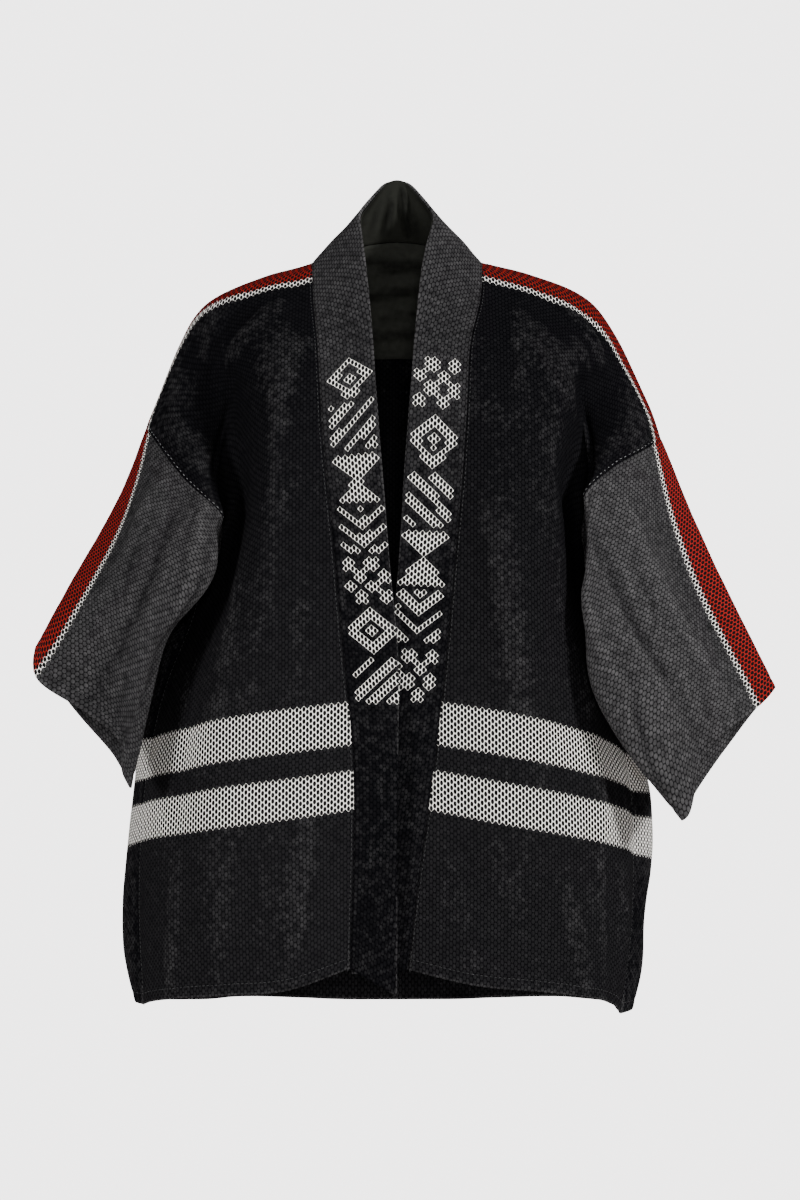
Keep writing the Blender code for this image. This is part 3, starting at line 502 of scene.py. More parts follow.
def fold_height(side: int, share: float, level: float) -> float:
    """How far the folds push one point of the front out.

    Args:
        side: 1 for the wearer's left, -1 for the right.
        share: Share of the way across.
        level: Level of the cloth.

    Returns:
        The push in millimetres.
    """
    total = 0.0
    here = np.array((share * SHOULDER_CLOTH, level))
    for f in FOLDS:
        if f.side != side:
            continue
        a = np.array((f.share_a * SHOULDER_CLOTH, f.down_a))
        b = np.array((f.share_b * SHOULDER_CLOTH, f.down_b))
        run = b - a
        t = float(np.dot(here - a, run) / np.dot(run, run))
        near = min(max(t, 0.0), 1.0)
        away = float(np.linalg.norm(here - a - run * near)) / f.half
        ends = math.sin(math.pi * (0.12 + 0.76 * near)) ** 0.7
        total += f.height * ends * math.exp(-away * away)
    return total


@dataclass(eq=False)
class Patchwork:
    """Points and four-sided faces of one piece of cloth, joined where patches share points.

    pinned, pull and back hold what its seams ask of single points, and flat their places on the flat
    cloth. found, inward and final are directions for all points, before and after the seams are fitted.
    """

    points: list[Place] = field(default_factory=list)
    faces: list[tuple[int, ...]] = field(default_factory=list)
    walls: list[float] = field(default_factory=list)
    pinned: dict[int, Place] = field(default_factory=dict)
    pull: dict[int, float] = field(default_factory=dict)
    back: dict[int, Place] = field(default_factory=dict)
    flat: dict[int, Pair] = field(default_factory=dict)
    grid: list | dict = field(default_factory=list)
    inner: list[list[int]] = field(default_factory=list)
    levels: list[float] = field(default_factory=list)
    front_levels: list[float] = field(default_factory=list)
    back_levels: list[float] = field(default_factory=list)
    along: list[float] = field(default_factory=list)
    ring: list[int] = field(default_factory=list)
    second: list[int] = field(default_factory=list)
    top: int = 0
    found: Place | None = None
    inward: Place | None = None
    final: Place | None = None

    def add(self, point: Sequence[float], wall: float) -> int:
        """Add a point with the wall's thickness there.

        Args:
            point: Its place.
            wall: Thickness in millimetres.

        Returns:
            The point's number.
        """
        self.points.append(np.array(point, float))
        self.walls.append(wall)
        return len(self.points) - 1

    def weave(self, grid: list[list[int]]) -> None:
        """Lay faces over a grid of point numbers.

        Args:
            grid: Rows of equal length.
        """
        for j in range(len(grid) - 1):
            for i in range(len(grid[0]) - 1):
                self.faces.append((grid[j][i], grid[j][i + 1], grid[j + 1][i + 1], grid[j + 1][i]))

    def normals(self) -> Place:
        """The direction of the cloth at each point, or the one it is pinned to.

        Returns:
            One unit direction for each point.
        """
        points = np.array(self.points)
        normals = np.zeros_like(points)
        for a, b, c, d in self.faces:
            n = np.cross(points[c] - points[a], points[d] - points[b])
            for k in (a, b, c, d):
                normals[k] += n
        normals /= np.linalg.norm(normals, axis=1, keepdims=True)
        for k, n in self.pinned.items():
            normals[k] = n
        return normals


def inward_of(cloth: Patchwork) -> Place:
    """For each point, the way to the middle of the faces round it: into the piece at its edges.

    Args:
        cloth: The piece.

    Returns:
        One unit direction for each point.
    """
    points = np.array(cloth.points)
    total = np.zeros_like(points)
    count = np.zeros((len(points), 1))
    for f in cloth.faces:
        middle = points[list(f)].mean(axis=0)
        for k in f:
            total[k] += middle
            count[k] += 1
    way = total / count - points
    return way / np.maximum(np.linalg.norm(way, axis=1, keepdims=True), 1e-6)


def face_out(cloth: Patchwork, number: int, direction: Sequence[float]) -> Patchwork:
    """Turn the faces round if a point of the piece faces away from the direction given.

    Args:
        cloth: The piece.
        number: The point looked at.
        direction: The way it has to face.

    Returns:
        The same piece.
    """
    if np.dot(cloth.normals()[number], direction) < 0:
        cloth.faces = [f[::-1] for f in cloth.faces]
    return cloth


def levels_of(end: float, armhole: float, armhole_rows: int, lower_rows: int, sign: int) -> list[float]:
    """The rows of a body panel: through the armhole, on down, and two more at the turned hem.

    Args:
        end: Length of the cloth.
        armhole: Level of the armhole's end.
        armhole_rows: Rows through the armhole.
        lower_rows: Rows below it.
        sign: 1 in front, -1 at the back.

    Returns:
        The levels, from the shoulder fold.
    """
    upper = list(np.linspace(0, armhole, armhole_rows + 1))
    stop = end - HEM_TURNED - HEM_STEP
    lower = list(np.linspace(armhole, stop, lower_rows + 1))[1:]
    return [sign * v for v in upper + lower + [end - HEM_TURNED, end]]


def wall_at(level: float, end: float) -> float:
    """The wall is thicker where the hem is turned in."""
    return HEM_WALL if abs(level) >= end - HEM_TURNED - 0.01 else CLOTH_WALL


def body_half(form: BodyForm) -> Patchwork:
    """One half of the body, front and back in one, with its edge rows kept for the seams.

    Args:
        form: Its surface.

    Returns:
        The patch of cloth.
    """
    shares = np.linspace(0, 1, ACROSS + 1) ** 0.94
    front_levels = levels_of(FRONT_LENGTH, ARMHOLE_FRONT, FRONT_ARMHOLE_ROWS, LOWER_ROWS, 1)
    back_levels = levels_of(BACK_LENGTH, ARMHOLE_BACK, BACK_ARMHOLE_ROWS, LOWER_ROWS, -1)
    cloth = Patchwork()
    grid = {}
    for level in back_levels[::-1] + front_levels[1:]:
        row = form.row(level, shares)
        end = FRONT_LENGTH if level > 0 else BACK_LENGTH
        grid[level] = [cloth.add(p, wall_at(level, end)) for p in row]
    cloth.weave(list(grid.values()))
    inner_shares = np.linspace(0, 1, NECK_COLUMNS + 1)
    inner = []
    for level in back_levels[::-1]:
        row = form.inner_row(level, inner_shares)
        numbers = [cloth.add(p, wall_at(level, BACK_LENGTH)) for p in row[:-1]]
        inner.append(numbers + [grid[level][0]])
    cloth.weave(inner)
    face_out(cloth, grid[front_levels[-5]][3], (0, -1, 0))
    # The folds of the front are pushed out along the cloth's own direction.
    normals = cloth.normals()
    for level in front_levels[1:]:
        for k, share in zip(grid[level], shares):
            if 0 < share < 1:
                push = fold_height(form.side, share, level)
                cloth.points[k] = cloth.points[k] + normals[k] * push
    cloth.grid = grid
    cloth.inner = inner
    cloth.front_levels = front_levels
    cloth.back_levels = back_levels
    return cloth


def sleeve_piece(form: SleeveForm, body: Patchwork) -> Patchwork:
    """A sleeve from the armhole to the cuff, with a point beside each row of the body's armhole.

    Args:
        form: Its surface.
        body: The half of the body it is sewn to.

    Returns:
        The patch of cloth.
    """
    front = [around_of(v) for v in body.front_levels[: FRONT_ARMHOLE_ROWS + 1]]
    back = [around_of(v) for v in body.back_levels[1: BACK_ARMHOLE_ROWS + 1]]
    around = front + back[::-1]
    stop = SLEEVE_LENGTH - HEM_TURNED - HEM_STEP
    along = list(np.linspace(0, stop, SLEEVE_STEPS + 1)) + [SLEEVE_LENGTH - HEM_TURNED, SLEEVE_LENGTH]
    surface = form.at(along, around)
    cloth = Patchwork()
    grid = []
    for j, where in enumerate(along):
        numbers = [cloth.add(p, wall_at(where, SLEEVE_LENGTH)) for p in surface[j]]
        grid.append(numbers + numbers[:1])
    cloth.weave(grid)
    cloth.grid = grid
    cloth.along = along
    cloth.ring = grid[0][:-1]
    cloth.second = grid[1][:-1]
    return face_out(cloth, grid[5][4], (0, -1, 0))


def gusset_piece(form: BodyForm, body: Patchwork) -> Patchwork:
    """The strip under the arm, between the side seams of front and back.

    Args:
        form: The surface of the half beside it.
        body: The patch of that half.

    Returns:
        The patch of cloth.
    """
    names = ("x_left", "y_left") if form.side > 0 else ("x_right", "y_right")
    table = [(getattr(g, names[0]), getattr(g, names[1])) for g in GUSSETS]
    cloth = Patchwork()
    grid = []
    front_levels = body.front_levels[FRONT_ARMHOLE_ROWS:]
    back_levels = body.back_levels[BACK_ARMHOLE_ROWS:]
    for front, back in zip(front_levels, back_levels):
        a = form.edge(front)
        b = form.edge(back)
        x, y = smooth([g.down for g in GUSSETS], table, np.array([front]))[0]
        middle = np.array((x, y, (a[2] + b[2]) / 2))
        if front == front_levels[0]:
            # The top is straight, against the armhole seam.
            middle = (a + b) / 2
        points = smooth((0.0, 0.5, 1.0), [a, middle, b], np.linspace(0, 1, GUSSET_COLUMNS + 1))
        grid.append([cloth.add(p, wall_at(front, FRONT_LENGTH)) for p in points])
    cloth.weave(grid)
    cloth.grid = grid
    cloth.levels = front_levels
    return face_out(cloth, grid[-3][2], (form.side, 0, 0))


def collar_stations(left: BodyForm, right: BodyForm, levels: list[float]) -> tuple[Place, Place]:
    """The two edges of the collar from hem to hem: the seam on the body and the free edge.

    Args:
        left: The left half's surface.
        right: The right half's.
        levels: Levels of the fronts.

    Returns:
        The places of seam and free edge.
    """
    downs = [c.down for c in COLLAR]
    seams = [right.seam(v) for v in reversed(levels)]
    frees = list(smooth(downs, [c.free_right for c in COLLAR], levels[::-1]))
    shares = np.linspace(0, 1, NECK_COLUMNS + 1)
    left_neck = smooth(NECK_KNOTS, left.neck, shares)
    right_neck = smooth(NECK_KNOTS, right.neck, shares)
    left_free = smooth(NECK_KNOTS, COLLAR_BACK, shares)
    right_free = left_free * np.array((-1.0, 1.0, 1.0))
    seams += [*right_neck[-2::-1], *left_neck[1:]]
    frees += [*right_free[-2::-1], *left_free[1:]]
    seams += [left.seam(v) for v in levels[1:]]
    frees += list(smooth(downs, [c.free_left for c in COLLAR], levels[1:]))
    return np.array(seams), np.array(frees)


def collar_piece(seams: Place, frees: Place) -> Patchwork:
    """The doubled strip of the collar.

    Args:
        seams: Places along the seam.
        frees: Places along the free edge.

    Returns:
        The patch of cloth.
    """
    cloth = Patchwork()
    shares = np.linspace(0, 1, COLLAR_COLUMNS + 1)
    grid = [[cloth.add(a + (b - a) * share, COLLAR_WALL) for share in shares] for a, b in zip(seams, frees)]
    cloth.weave(grid)
    cloth.grid = grid
    return face_out(cloth, grid[2][2], (0, -1, 0))


def draw_in(cloth: Patchwork, numbers: list[int], inward: list[int]) -> None:
    """Move an edge straight back from its seam, across the cloth.

    Args:
        cloth: The piece.
        numbers: Its points along the seam, in order.
        inward: The point inside beside each of them.
    """
    directions = cloth.normals()
    places = [cloth.points[k] for k in numbers]
    last = len(numbers) - 1
    moved = []
    for i, (k, beside) in enumerate(zip(numbers, inward)):
        along = places[min(i + 1, last)] - places[max(i - 1, 0)]
        along = along / np.linalg.norm(along)
        way = np.cross(directions[k], along)
        way = way / np.linalg.norm(way)
        if np.dot(way, cloth.points[beside] - places[i]) < 0:
            way = -way
        moved.append(places[i] + way * cloth.pull.get(k, 0.0))
    for k, place in zip(numbers, moved):
        cloth.points[k] = place


def match_seams(groups: list[list[tuple[Patchwork, int]]]) -> None:
    """Fit the sides of a seam to each other.

    Where the sides lie nearly level they share one direction, so that their walls meet face to face.
    Where they meet at a sharp angle each keeps its own and lies back by half its wall, so that the
    surfaces that face each other only meet at the seam.

    Args:
        groups: The pieces and point numbers that meet, a group for each place.
    """
    for group in groups:
        found = [piece.found[number] for piece, number in group]
        least = min(float(np.dot(a, b)) for a in found for b in found)
        if least > math.cos(math.radians(SHARP_SEAM)):
            normal = sum(found)
            normal = normal / np.linalg.norm(normal)
            for piece, number in group:
                piece.pinned[number] = normal
            continue
        lean = 0.0
        for one, a in group:
            for other, b in group:
                if one is not other:
                    lean += float(np.dot(one.found[a], other.inward[b]))
        way = 1.0 if lean > 0 else -1.0
        for piece, number in group:
            own = piece.found[number]
            like = sum(f for f in found if float(np.dot(f, own)) > math.cos(math.radians(SHARP_SEAM)))
            like = like / np.linalg.norm(like)
            piece.pinned[number] = like
            piece.pull[number] = SEAM_SLACK
            piece.back[number] = -like * way * (piece.walls[number] / 2 + SEAM_SLACK)


def lie_back(cloth: Patchwork) -> None:
    """Apply what match_seams found for the sharp seams."""
    for k, move in cloth.back.items():
        cloth.points[k] = cloth.points[k] + move


def relax(cloth: Patchwork, centre: Place, reach: float, rounds: int) -> None:
    """Let the cloth near a point settle between its neighbours. Its edges stay.

    Args:
        cloth: The piece.
        centre: The point.
        reach: How far from it the cloth settles.
        rounds: How many times.
    """
    uses = Counter(tuple(sorted((f[k], f[k - 3]))) for f in cloth.faces for k in range(4))
    beside = {}
    edge = set()
    for (a, b), count in uses.items():
        beside.setdefault(a, []).append(b)
        beside.setdefault(b, []).append(a)
        if count == 1:
            edge.update((a, b))
    points = np.array(cloth.points)
    away = np.linalg.norm(points - np.array(centre), axis=1)
    chosen = [k for k in beside if k not in edge and away[k] < reach]
    for _ in range(rounds):
        moved = {}
        for k in chosen:
            middle = np.mean([cloth.points[n] for n in beside[k]], axis=0)
            share = min(1.0, 1.6 * (1 - away[k] / reach)) * 0.6
            moved[k] = cloth.points[k] + (middle - cloth.points[k]) * share
        for k, place in moved.items():
            cloth.points[k] = place


def armhole_groups(body: Patchwork, sleeve: Patchwork, gusset: Patchwork) -> list:
    """The points that meet round an armhole, side by side.

    Args:
        body: Half of the body.
        sleeve: Its sleeve.
        gusset: Its gusset.

    Returns:
        Groups for match_seams.
    """
    front = body.front_levels[: FRONT_ARMHOLE_ROWS + 1]
    back = body.back_levels[1: BACK_ARMHOLE_ROWS + 1][::-1]
    numbers = [body.grid[v][-1] for v in front + back]
    groups = [[(body, a), (sleeve, b)] for a, b in zip(numbers, sleeve.ring)]
    groups[len(front) - 1].append((gusset, gusset.grid[0][0]))
    groups[len(front)].append((gusset, gusset.grid[0][-1]))
    return groups


def side_groups(body: Patchwork, gusset: Patchwork) -> list:
    """The points that meet down the two side seams.

    Args:
        body: Half of the body.
        gusset: Its gusset.

    Returns:
        Groups for match_seams.
    """
    groups = []
    fronts = body.front_levels[FRONT_ARMHOLE_ROWS + 1:]
    backs = body.back_levels[BACK_ARMHOLE_ROWS + 1:]
    for row, (f, b) in enumerate(zip(fronts, backs), start=1):
        groups.append([(body, body.grid[f][-1]), (gusset, gusset.grid[row][0])])
        groups.append([(body, body.grid[b][-1]), (gusset, gusset.grid[row][-1])])
    return groups


def collar_groups(bodies: dict[int, Patchwork], collar: Patchwork) -> list:
    """The points that meet along the collar seam, from the right hem round the neck to the left hem.

    Args:
        bodies: Both halves by side.
        collar: The collar.

    Returns:
        Groups for match_seams.
    """
    right, left = bodies[-1], bodies[1]
    numbers = [(right, right.grid[v][0]) for v in reversed(right.front_levels)]
    numbers += [(right, k) for k in right.inner[-1][-2::-1]]
    numbers += [(left, k) for k in left.inner[-1][1:-1]]
    numbers += [(left, left.grid[v][0]) for v in left.front_levels]
    groups = [[pair, (collar, row[0])] for pair, row in zip(numbers, collar.grid)]
    groups[len(right.front_levels) + NECK_COLUMNS - 1].append((left, left.inner[-1][0]))
    return groups


def lining_grid(bodies: dict[int, Patchwork]) -> list:
    """The back's own points from armhole side to armhole side, for the patch below the neck.

    Args:
        bodies: Both halves by side.

    Returns:
        Rows of pieces and point numbers.
    """
    right, left = bodies[-1], bodies[1]
    rows = []
    for j, level in enumerate(right.back_levels[: LINING_ROWS + 1], start=1):
        row = [(right, k) for k in right.grid[level][LINING_SIDE_COLUMNS::-1]]
        row += [(right, k) for k in right.inner[-j][-2::-1]]
        row += [(left, k) for k in left.inner[-j][1:-1]]
        row += [(left, k) for k in left.grid[level][: LINING_SIDE_COLUMNS + 1]]
        rows.append(row)
    return rows


def lining_piece(rows: list, wall_beside: float) -> Patchwork:
    """A thin lining on the inside of other pieces' points.

    Args:
        rows: Rows of pieces and point numbers.
        wall_beside: Thickness of what it lies on.

    Returns:
        The patch of cloth.
    """
    cloth = Patchwork()
    move = wall_beside / 2 + LINING_GAP + LINING_WALL / 2
    grid = []
    for row in rows:
        places = [piece.points[k] - piece.final[k] * move for piece, k in row]
        grid.append([cloth.add(p, LINING_WALL) for p in places])
    cloth.weave(grid)
    cloth.grid = grid
    return cloth


# Finer creases on each piece, on the flat cloth in millimetres: across and along at both ends, half
# width and height. Along is below 0 at the back.
Crease = namedtuple("Crease", "u_a v_a u_b v_b half height")
CREASES = {
    "body_left": (
        (150, 30, 235, 100, 8, -3.4), (175, 20, 260, 60, 7, -2.7), (130, 120, 215, 175, 12, 3.7),
        (200, 110, 300, 170, 9, -4.4), (215, 150, 320, 190, 8, 3.4), (95, 300, 130, 520, 16, 3.1),
        (150, 330, 175, 560, 18, -3.1), (205, 420, 225, 640, 14, 3.4), (60, 600, 110, 745, 18, -2.7),
        (170, 650, 200, 766, 12, 3.4), (225, 600, 240, 766, 9, -3.1), (120, 470, 240, 500, 12, -1.5),
        (60, -90, 120, -330, 26, -4.4), (130, -140, 190, -380, 22, 4.4), (190, -160, 250, -300, 12, -5.1),
        (210, -190, 290, -262, 10, 4.4), (30, -420, 60, -760, 26, 4.1), (110, -430, 130, -780, 24, -4.4),
        (190, -470, 205, -780, 20, 4.1), (20, -300, 180, -340, 16, 2.7),
    ),
    "body_right": (
        (150, 30, 240, 110, 8, -3.4), (120, 60, 250, 150, 11, 3.4), (190, 120, 300, 180, 9, -4.1),
        (230, 150, 330, 200, 8, 3.1), (110, 330, 135, 560, 18, -3.4), (165, 300, 190, 540, 15, 3.1),
        (215, 400, 235, 600, 12, -3.1), (80, 560, 110, 750, 20, 3.1), (150, 620, 165, 766, 14, -3.1),
        (230, 640, 245, 766, 10, 3.1), (100, 440, 220, 470, 12, -1.4), (50, -100, 110, -340, 26, 4.1),
        (120, -130, 200, -360, 22, -4.4), (200, -150, 270, -280, 12, 4.4), (220, -200, 300, -262, 10, -4.4),
        (40, -440, 50, -780, 26, -4.1), (100, -420, 125, -770, 24, 4.1), (180, -460, 215, -780, 20, -4.1),
        (30, -340, 170, -300, 16, -2.7),
    ),
    "sleeve_left": (
        (375, 120, 640, 70, 14, 4.6), (400, 165, 655, 120, 11, -4.6), (380, 205, 560, 190, 9, 4.6),
        (372, 150, 450, 215, 8, -5.1), (372, 190, 430, 235, 7, 4.2), (560, 175, 640, 205, 7, -3.9),
        (400, 60, 600, 40, 16, -3.0), (373, -60, 480, -130, 14, -5.1), (373, -110, 520, -190, 12, 5.5),
        (420, -60, 650, -80, 18, 4.2), (373, -180, 450, -230, 9, -5.5),
    ),
    "sleeve_right": (
        (374, 95, 560, 60, 13, 4.6), (385, 130, 650, 100, 12, -4.6), (372, 160, 520, 175, 9, 5.1),
        (372, 185, 440, 215, 7, -5.1), (450, 190, 640, 165, 10, -4.2), (372, 210, 420, 240, 6, 4.2),
        (373, -60, 470, -120, 14, 5.1), (373, -120, 530, -170, 12, -5.5), (430, -70, 650, -60, 18, -4.2),
        (373, -190, 460, -220, 9, 5.5),
    ),
    "side_gusset_right": (
        (25, 340, 25, 500, 22, 5.0),
    ),
    "collar_lining": (
        (6, 58, 12, 6, 3.2, -7.5), (-6, 44, -14, 4, 4.5, -5.5), (16, 40, 22, 0, 4, -2.6),
        (-22, 50, -30, 6, 5, -2.2), (-40, 30, -80, 44, 5, -1.6), (36, 26, 80, 40, 5, -1.6),
    ),
    "collar": (
        (5, 90, 60, 150, 12, 1.2), (5, -90, 60, -140, 12, 1.2), (30, 300, 34, 640, 16, 1.0),
        (30, -300, 30, -640, 16, 1.0),
    ),
    "back_neck_lining": (
        (70, 10, 190, 30, 7, -4.0), (95, 40, 205, 16, 6, -3.6), (80, 62, 190, 48, 7, -5.0),
        (110, 84, 230, 66, 6, -3.6), (90, 104, 200, 98, 6, -3.0),
    ),
}

# The white stripes' levels, and the shoulder band's half width without and with its white edge
STRIPE_HIGH = (498.0, 538.5)
STRIPE_LOW = (564.0, 604.0)
BAND_HALF = 30.5
BAND_EDGE = 36.5
NECK_AT = 84.0
BAND_FADES = 90.0
# How far the band has turned to the back on each side, at some distances from the neck
BAND_TURNED = {
    1: ((0, 0.0), (110, -2.0), (200, -9.0), (270, -6.0), (340, -4.0), (420, -5.0), (560, -5.0), (700, 0.0)),
    -1: ((0, 0.0), (150, 0.0), (215, 14.0), (275, 23.0), (330, 19.0), (371, 8.0), (420, -5.0),
         (490, -11.0), (570, -8.0), (640, -1.0), (700, 0.0)),
}

# Small forms of the cloth: unevenness, pucker and groove along stitches, and the sunk and worn rims
WANDER = 1.1
RIPPLE = 0.35
PUCKER = 0.25
PUCKER_HALF = 9.0
HEM_WAVE = (0.41, 1.7, 0.043)
CUFF_WAVE = (0.39, 1.4, 0.05)
GROOVE = 0.45
GROOVE_HALF = 2.2
RIM_SINK = 0.45
RIM_ROUNDS = 4
WORN_RIM = 2.4
WORN_REACH = 20.0
COLLAR_WORN_FROM = 45.0
RIDGE_ROUNDS = 40
RIDGE_FULL = 1.2

# How much ridges, broad clouds and small specks fade the cloth, with painted shade in the troughs, how far
# the last two swing, and where on the body the tone shift towards the hem starts and over what length it
# grows
RIDGE_WEAR_AND_SHADE = 0.19
CLOUDS_FADE = 0.09
SPECKS_FADE = 0.25
CLOUD_SWING = 2.6
SPECK_SWING = 2.0
TONE_SHIFT_FROM = 120.0
TONE_SHIFT_OVER = 380.0

# How far the linings lie off what carries them, besides their gap
LINING_CLEAR = {"back_neck_lining": 1.6, "collar_lining": 0.4}
# The stitches' lift, how finely their rows are laid, and how far they keep from each kind of edge
STITCH_LIFT = 0.05
STITCH_STEP = 3.0
FROM_COLLAR = 3.0
FROM_END = 2.0
FROM_SIDE = 2.6
FROM_ARMHOLE = 3.2


def evened(level: float) -> float:
    """The level of the front's cloth that meets a level of the back's at the side seam.

    Args:
        level: Level of the cloth.

    Returns:
        The level to use on the flat cloth.
    """
    if level >= -ARMHOLE_BACK:
        return level
    below = (-level - ARMHOLE_BACK) * (FRONT_LENGTH - ARMHOLE_FRONT)
    return -(ARMHOLE_BACK + below / (BACK_LENGTH - ARMHOLE_BACK))


def run_along(cloth: Patchwork, row: list[int], start: float = 0.0) -> list[float]:
    """How far along a row of the cloth each of its points lies.

    Args:
        cloth: The piece.
        row: Its points, in order.
        start: How far the first one lies already.

    Returns:
        The distances in millimetres.
    """
    runs = [start]
    for a, b in zip(row, row[1:]):
        runs.append(runs[-1] + float(np.linalg.norm(cloth.points[b] - cloth.points[a])))
    return runs


def lay_row(cloth: Patchwork, row: list[int], level: float, start: float = 0.0) -> None:
    """Lay one row of points flat at a level of the cloth, straight across from the start."""
    for k, run in zip(row, run_along(cloth, row, start)):
        cloth.flat[k] = (run, level)


def flat_places(
    bodies: dict, sleeves: dict, gussets: dict, collar: Patchwork, patch: Patchwork, facing: Patchwork,
) -> None:
    """Give every point its place on the flat cloth: across and along, in millimetres.

    Args:
        bodies: The body halves by side.
        sleeves: The opened sleeves by side.
        gussets: The gussets by side.
        collar: The collar.
        patch: The lining patch below the neck.
        facing: The collar's lining.
    """
    for body in bodies.values():
        for level, row in zip(body.back_levels[::-1], body.inner):
            lay_row(body, row, evened(level))
        for level, row in body.grid.items():
            start = body.flat[row[0]][0] if level <= 0 else abs(float(body.points[row[0]][0]))
            lay_row(body, row, evened(level), start)
    for sleeve in sleeves.values():
        for row, where in zip(sleeve.grid, sleeve.along):
            for way in (1, -1):
                arm = row[sleeve.top::way]
                for k, run in zip(arm, run_along(sleeve, arm)):
                    sleeve.flat[k] = (EDGE_AT + where, way * run)
    for side, turns in BAND_TURNED.items():
        for cloth in (bodies[side], sleeves[side]):
            for k, (across, along) in cloth.flat.items():
                turned = float(smooth(*zip(*turns), [across])[0])
                cloth.flat[k] = (across, along + turned * math.exp(-((along / BAND_FADES) ** 2)))
    for gusset in gussets.values():
        for row, level in zip(gusset.grid, gusset.levels):
            lay_row(gusset, row, level)
    run = np.array(run_along(collar, [row[0] for row in collar.grid]))
    run = run - run[len(run) // 2]
    for row, along in zip(collar.grid, run):
        lay_row(collar, row, float(along))
    for cloth in (patch, facing):
        middle = [row[len(row) // 2] for row in cloth.grid]
        for row, down in zip(cloth.grid, run_along(cloth, middle)):
            lay_row(cloth, row, down)
            if cloth is facing:
                half = cloth.flat[row[-1]][0] / 2
                for k in row:
                    cloth.flat[k] = (cloth.flat[k][0] - half, down)


def open_underarm(sleeve: Patchwork) -> Patchwork:
    """The sleeve as an open strip that starts and ends at its seam under the arm.

    Args:
        sleeve: The closed sleeve.

    Returns:
        The opened patch.
    """
    front = FRONT_ARMHOLE_ROWS + 1
    cloth = Patchwork()
    cloth.along = sleeve.along
    grid = []
    for row in sleeve.grid:
        ring = row[:-1]
        places = [sleeve.points[k] for k in ring]
        seam = (places[front - 1] + places[front]) / 2
        order = [seam] + places[front:] + places[:front] + [seam]
        wall = sleeve.walls[ring[0]]
        grid.append([cloth.add(p, wall) for p in order])
    cloth.weave(grid)
    cloth.grid = grid
    cloth.top = 1 + len(sleeve.grid[0]) - 1 - front
    return face_out(cloth, grid[5][cloth.top + 4], (0, -1, 0))


def read_all(items: bpy.types.bpy_prop_collection, name: str, width: int, kind: type = float) -> Place:
    """Read one property of every item of a mesh at once.

    Args:
        items: The mesh's points, edges, corners or UV places.
        name: The property.
        width: How many numbers it has.
        kind: Their type.

    Returns:
        A row of numbers for each item.
    """
    numbers = np.zeros(len(items) * width, dtype=kind)
    items.foreach_get(name, numbers)
    return numbers.reshape(-1, width)


def put(name: str, data: bpy.types.ID) -> bpy.types.Object:
    """Put a new mesh, light or camera into the scene as an object."""
    made = bpy.data.objects.new(name, data)
    bpy.context.scene.collection.objects.link(made)
    return made


def beside_sum(edges: Place, values: Place) -> Place:
    """Add up the values of each point's neighbours.

    Args:
        edges: Pairs of point numbers.
        values: A number or a place for each point.

    Returns:
        The sum at each point.
    """
    total = np.zeros_like(values)
    np.add.at(total, edges[:, 0], values[edges[:, 1]])
    np.add.at(total, edges[:, 1], values[edges[:, 0]])
    return total


def stitch_relief(away: Place, run: Place, wave: tuple[float, float, float]) -> Place:
    """The groove of a row of stitches and the uneven pucker beside it.

    Args:
        away: Each point's distance from the row.
        run: Its place along the row.
        wave: The pucker's step, how much it bends and the step of the bends.

    Returns:
        The push at each point in millimetres.
    """
    step, bend, bend_step = wave
    pucker = PUCKER * np.sin(run * step + bend * np.sin(run * bend_step))
    groove = GROOVE * np.exp(-((away / GROOVE_HALF) ** 2))
    return pucker * np.exp(-((away / PUCKER_HALF) ** 2)) - groove


class Finish(Enum):
    """Which of the jacket's cloths a piece is made of."""

    STRIPED = "striped"
    BANDED = "banded"
    PLAIN_SIDE = "side"
    COLLAR = "collar"
    LINING = "lining"


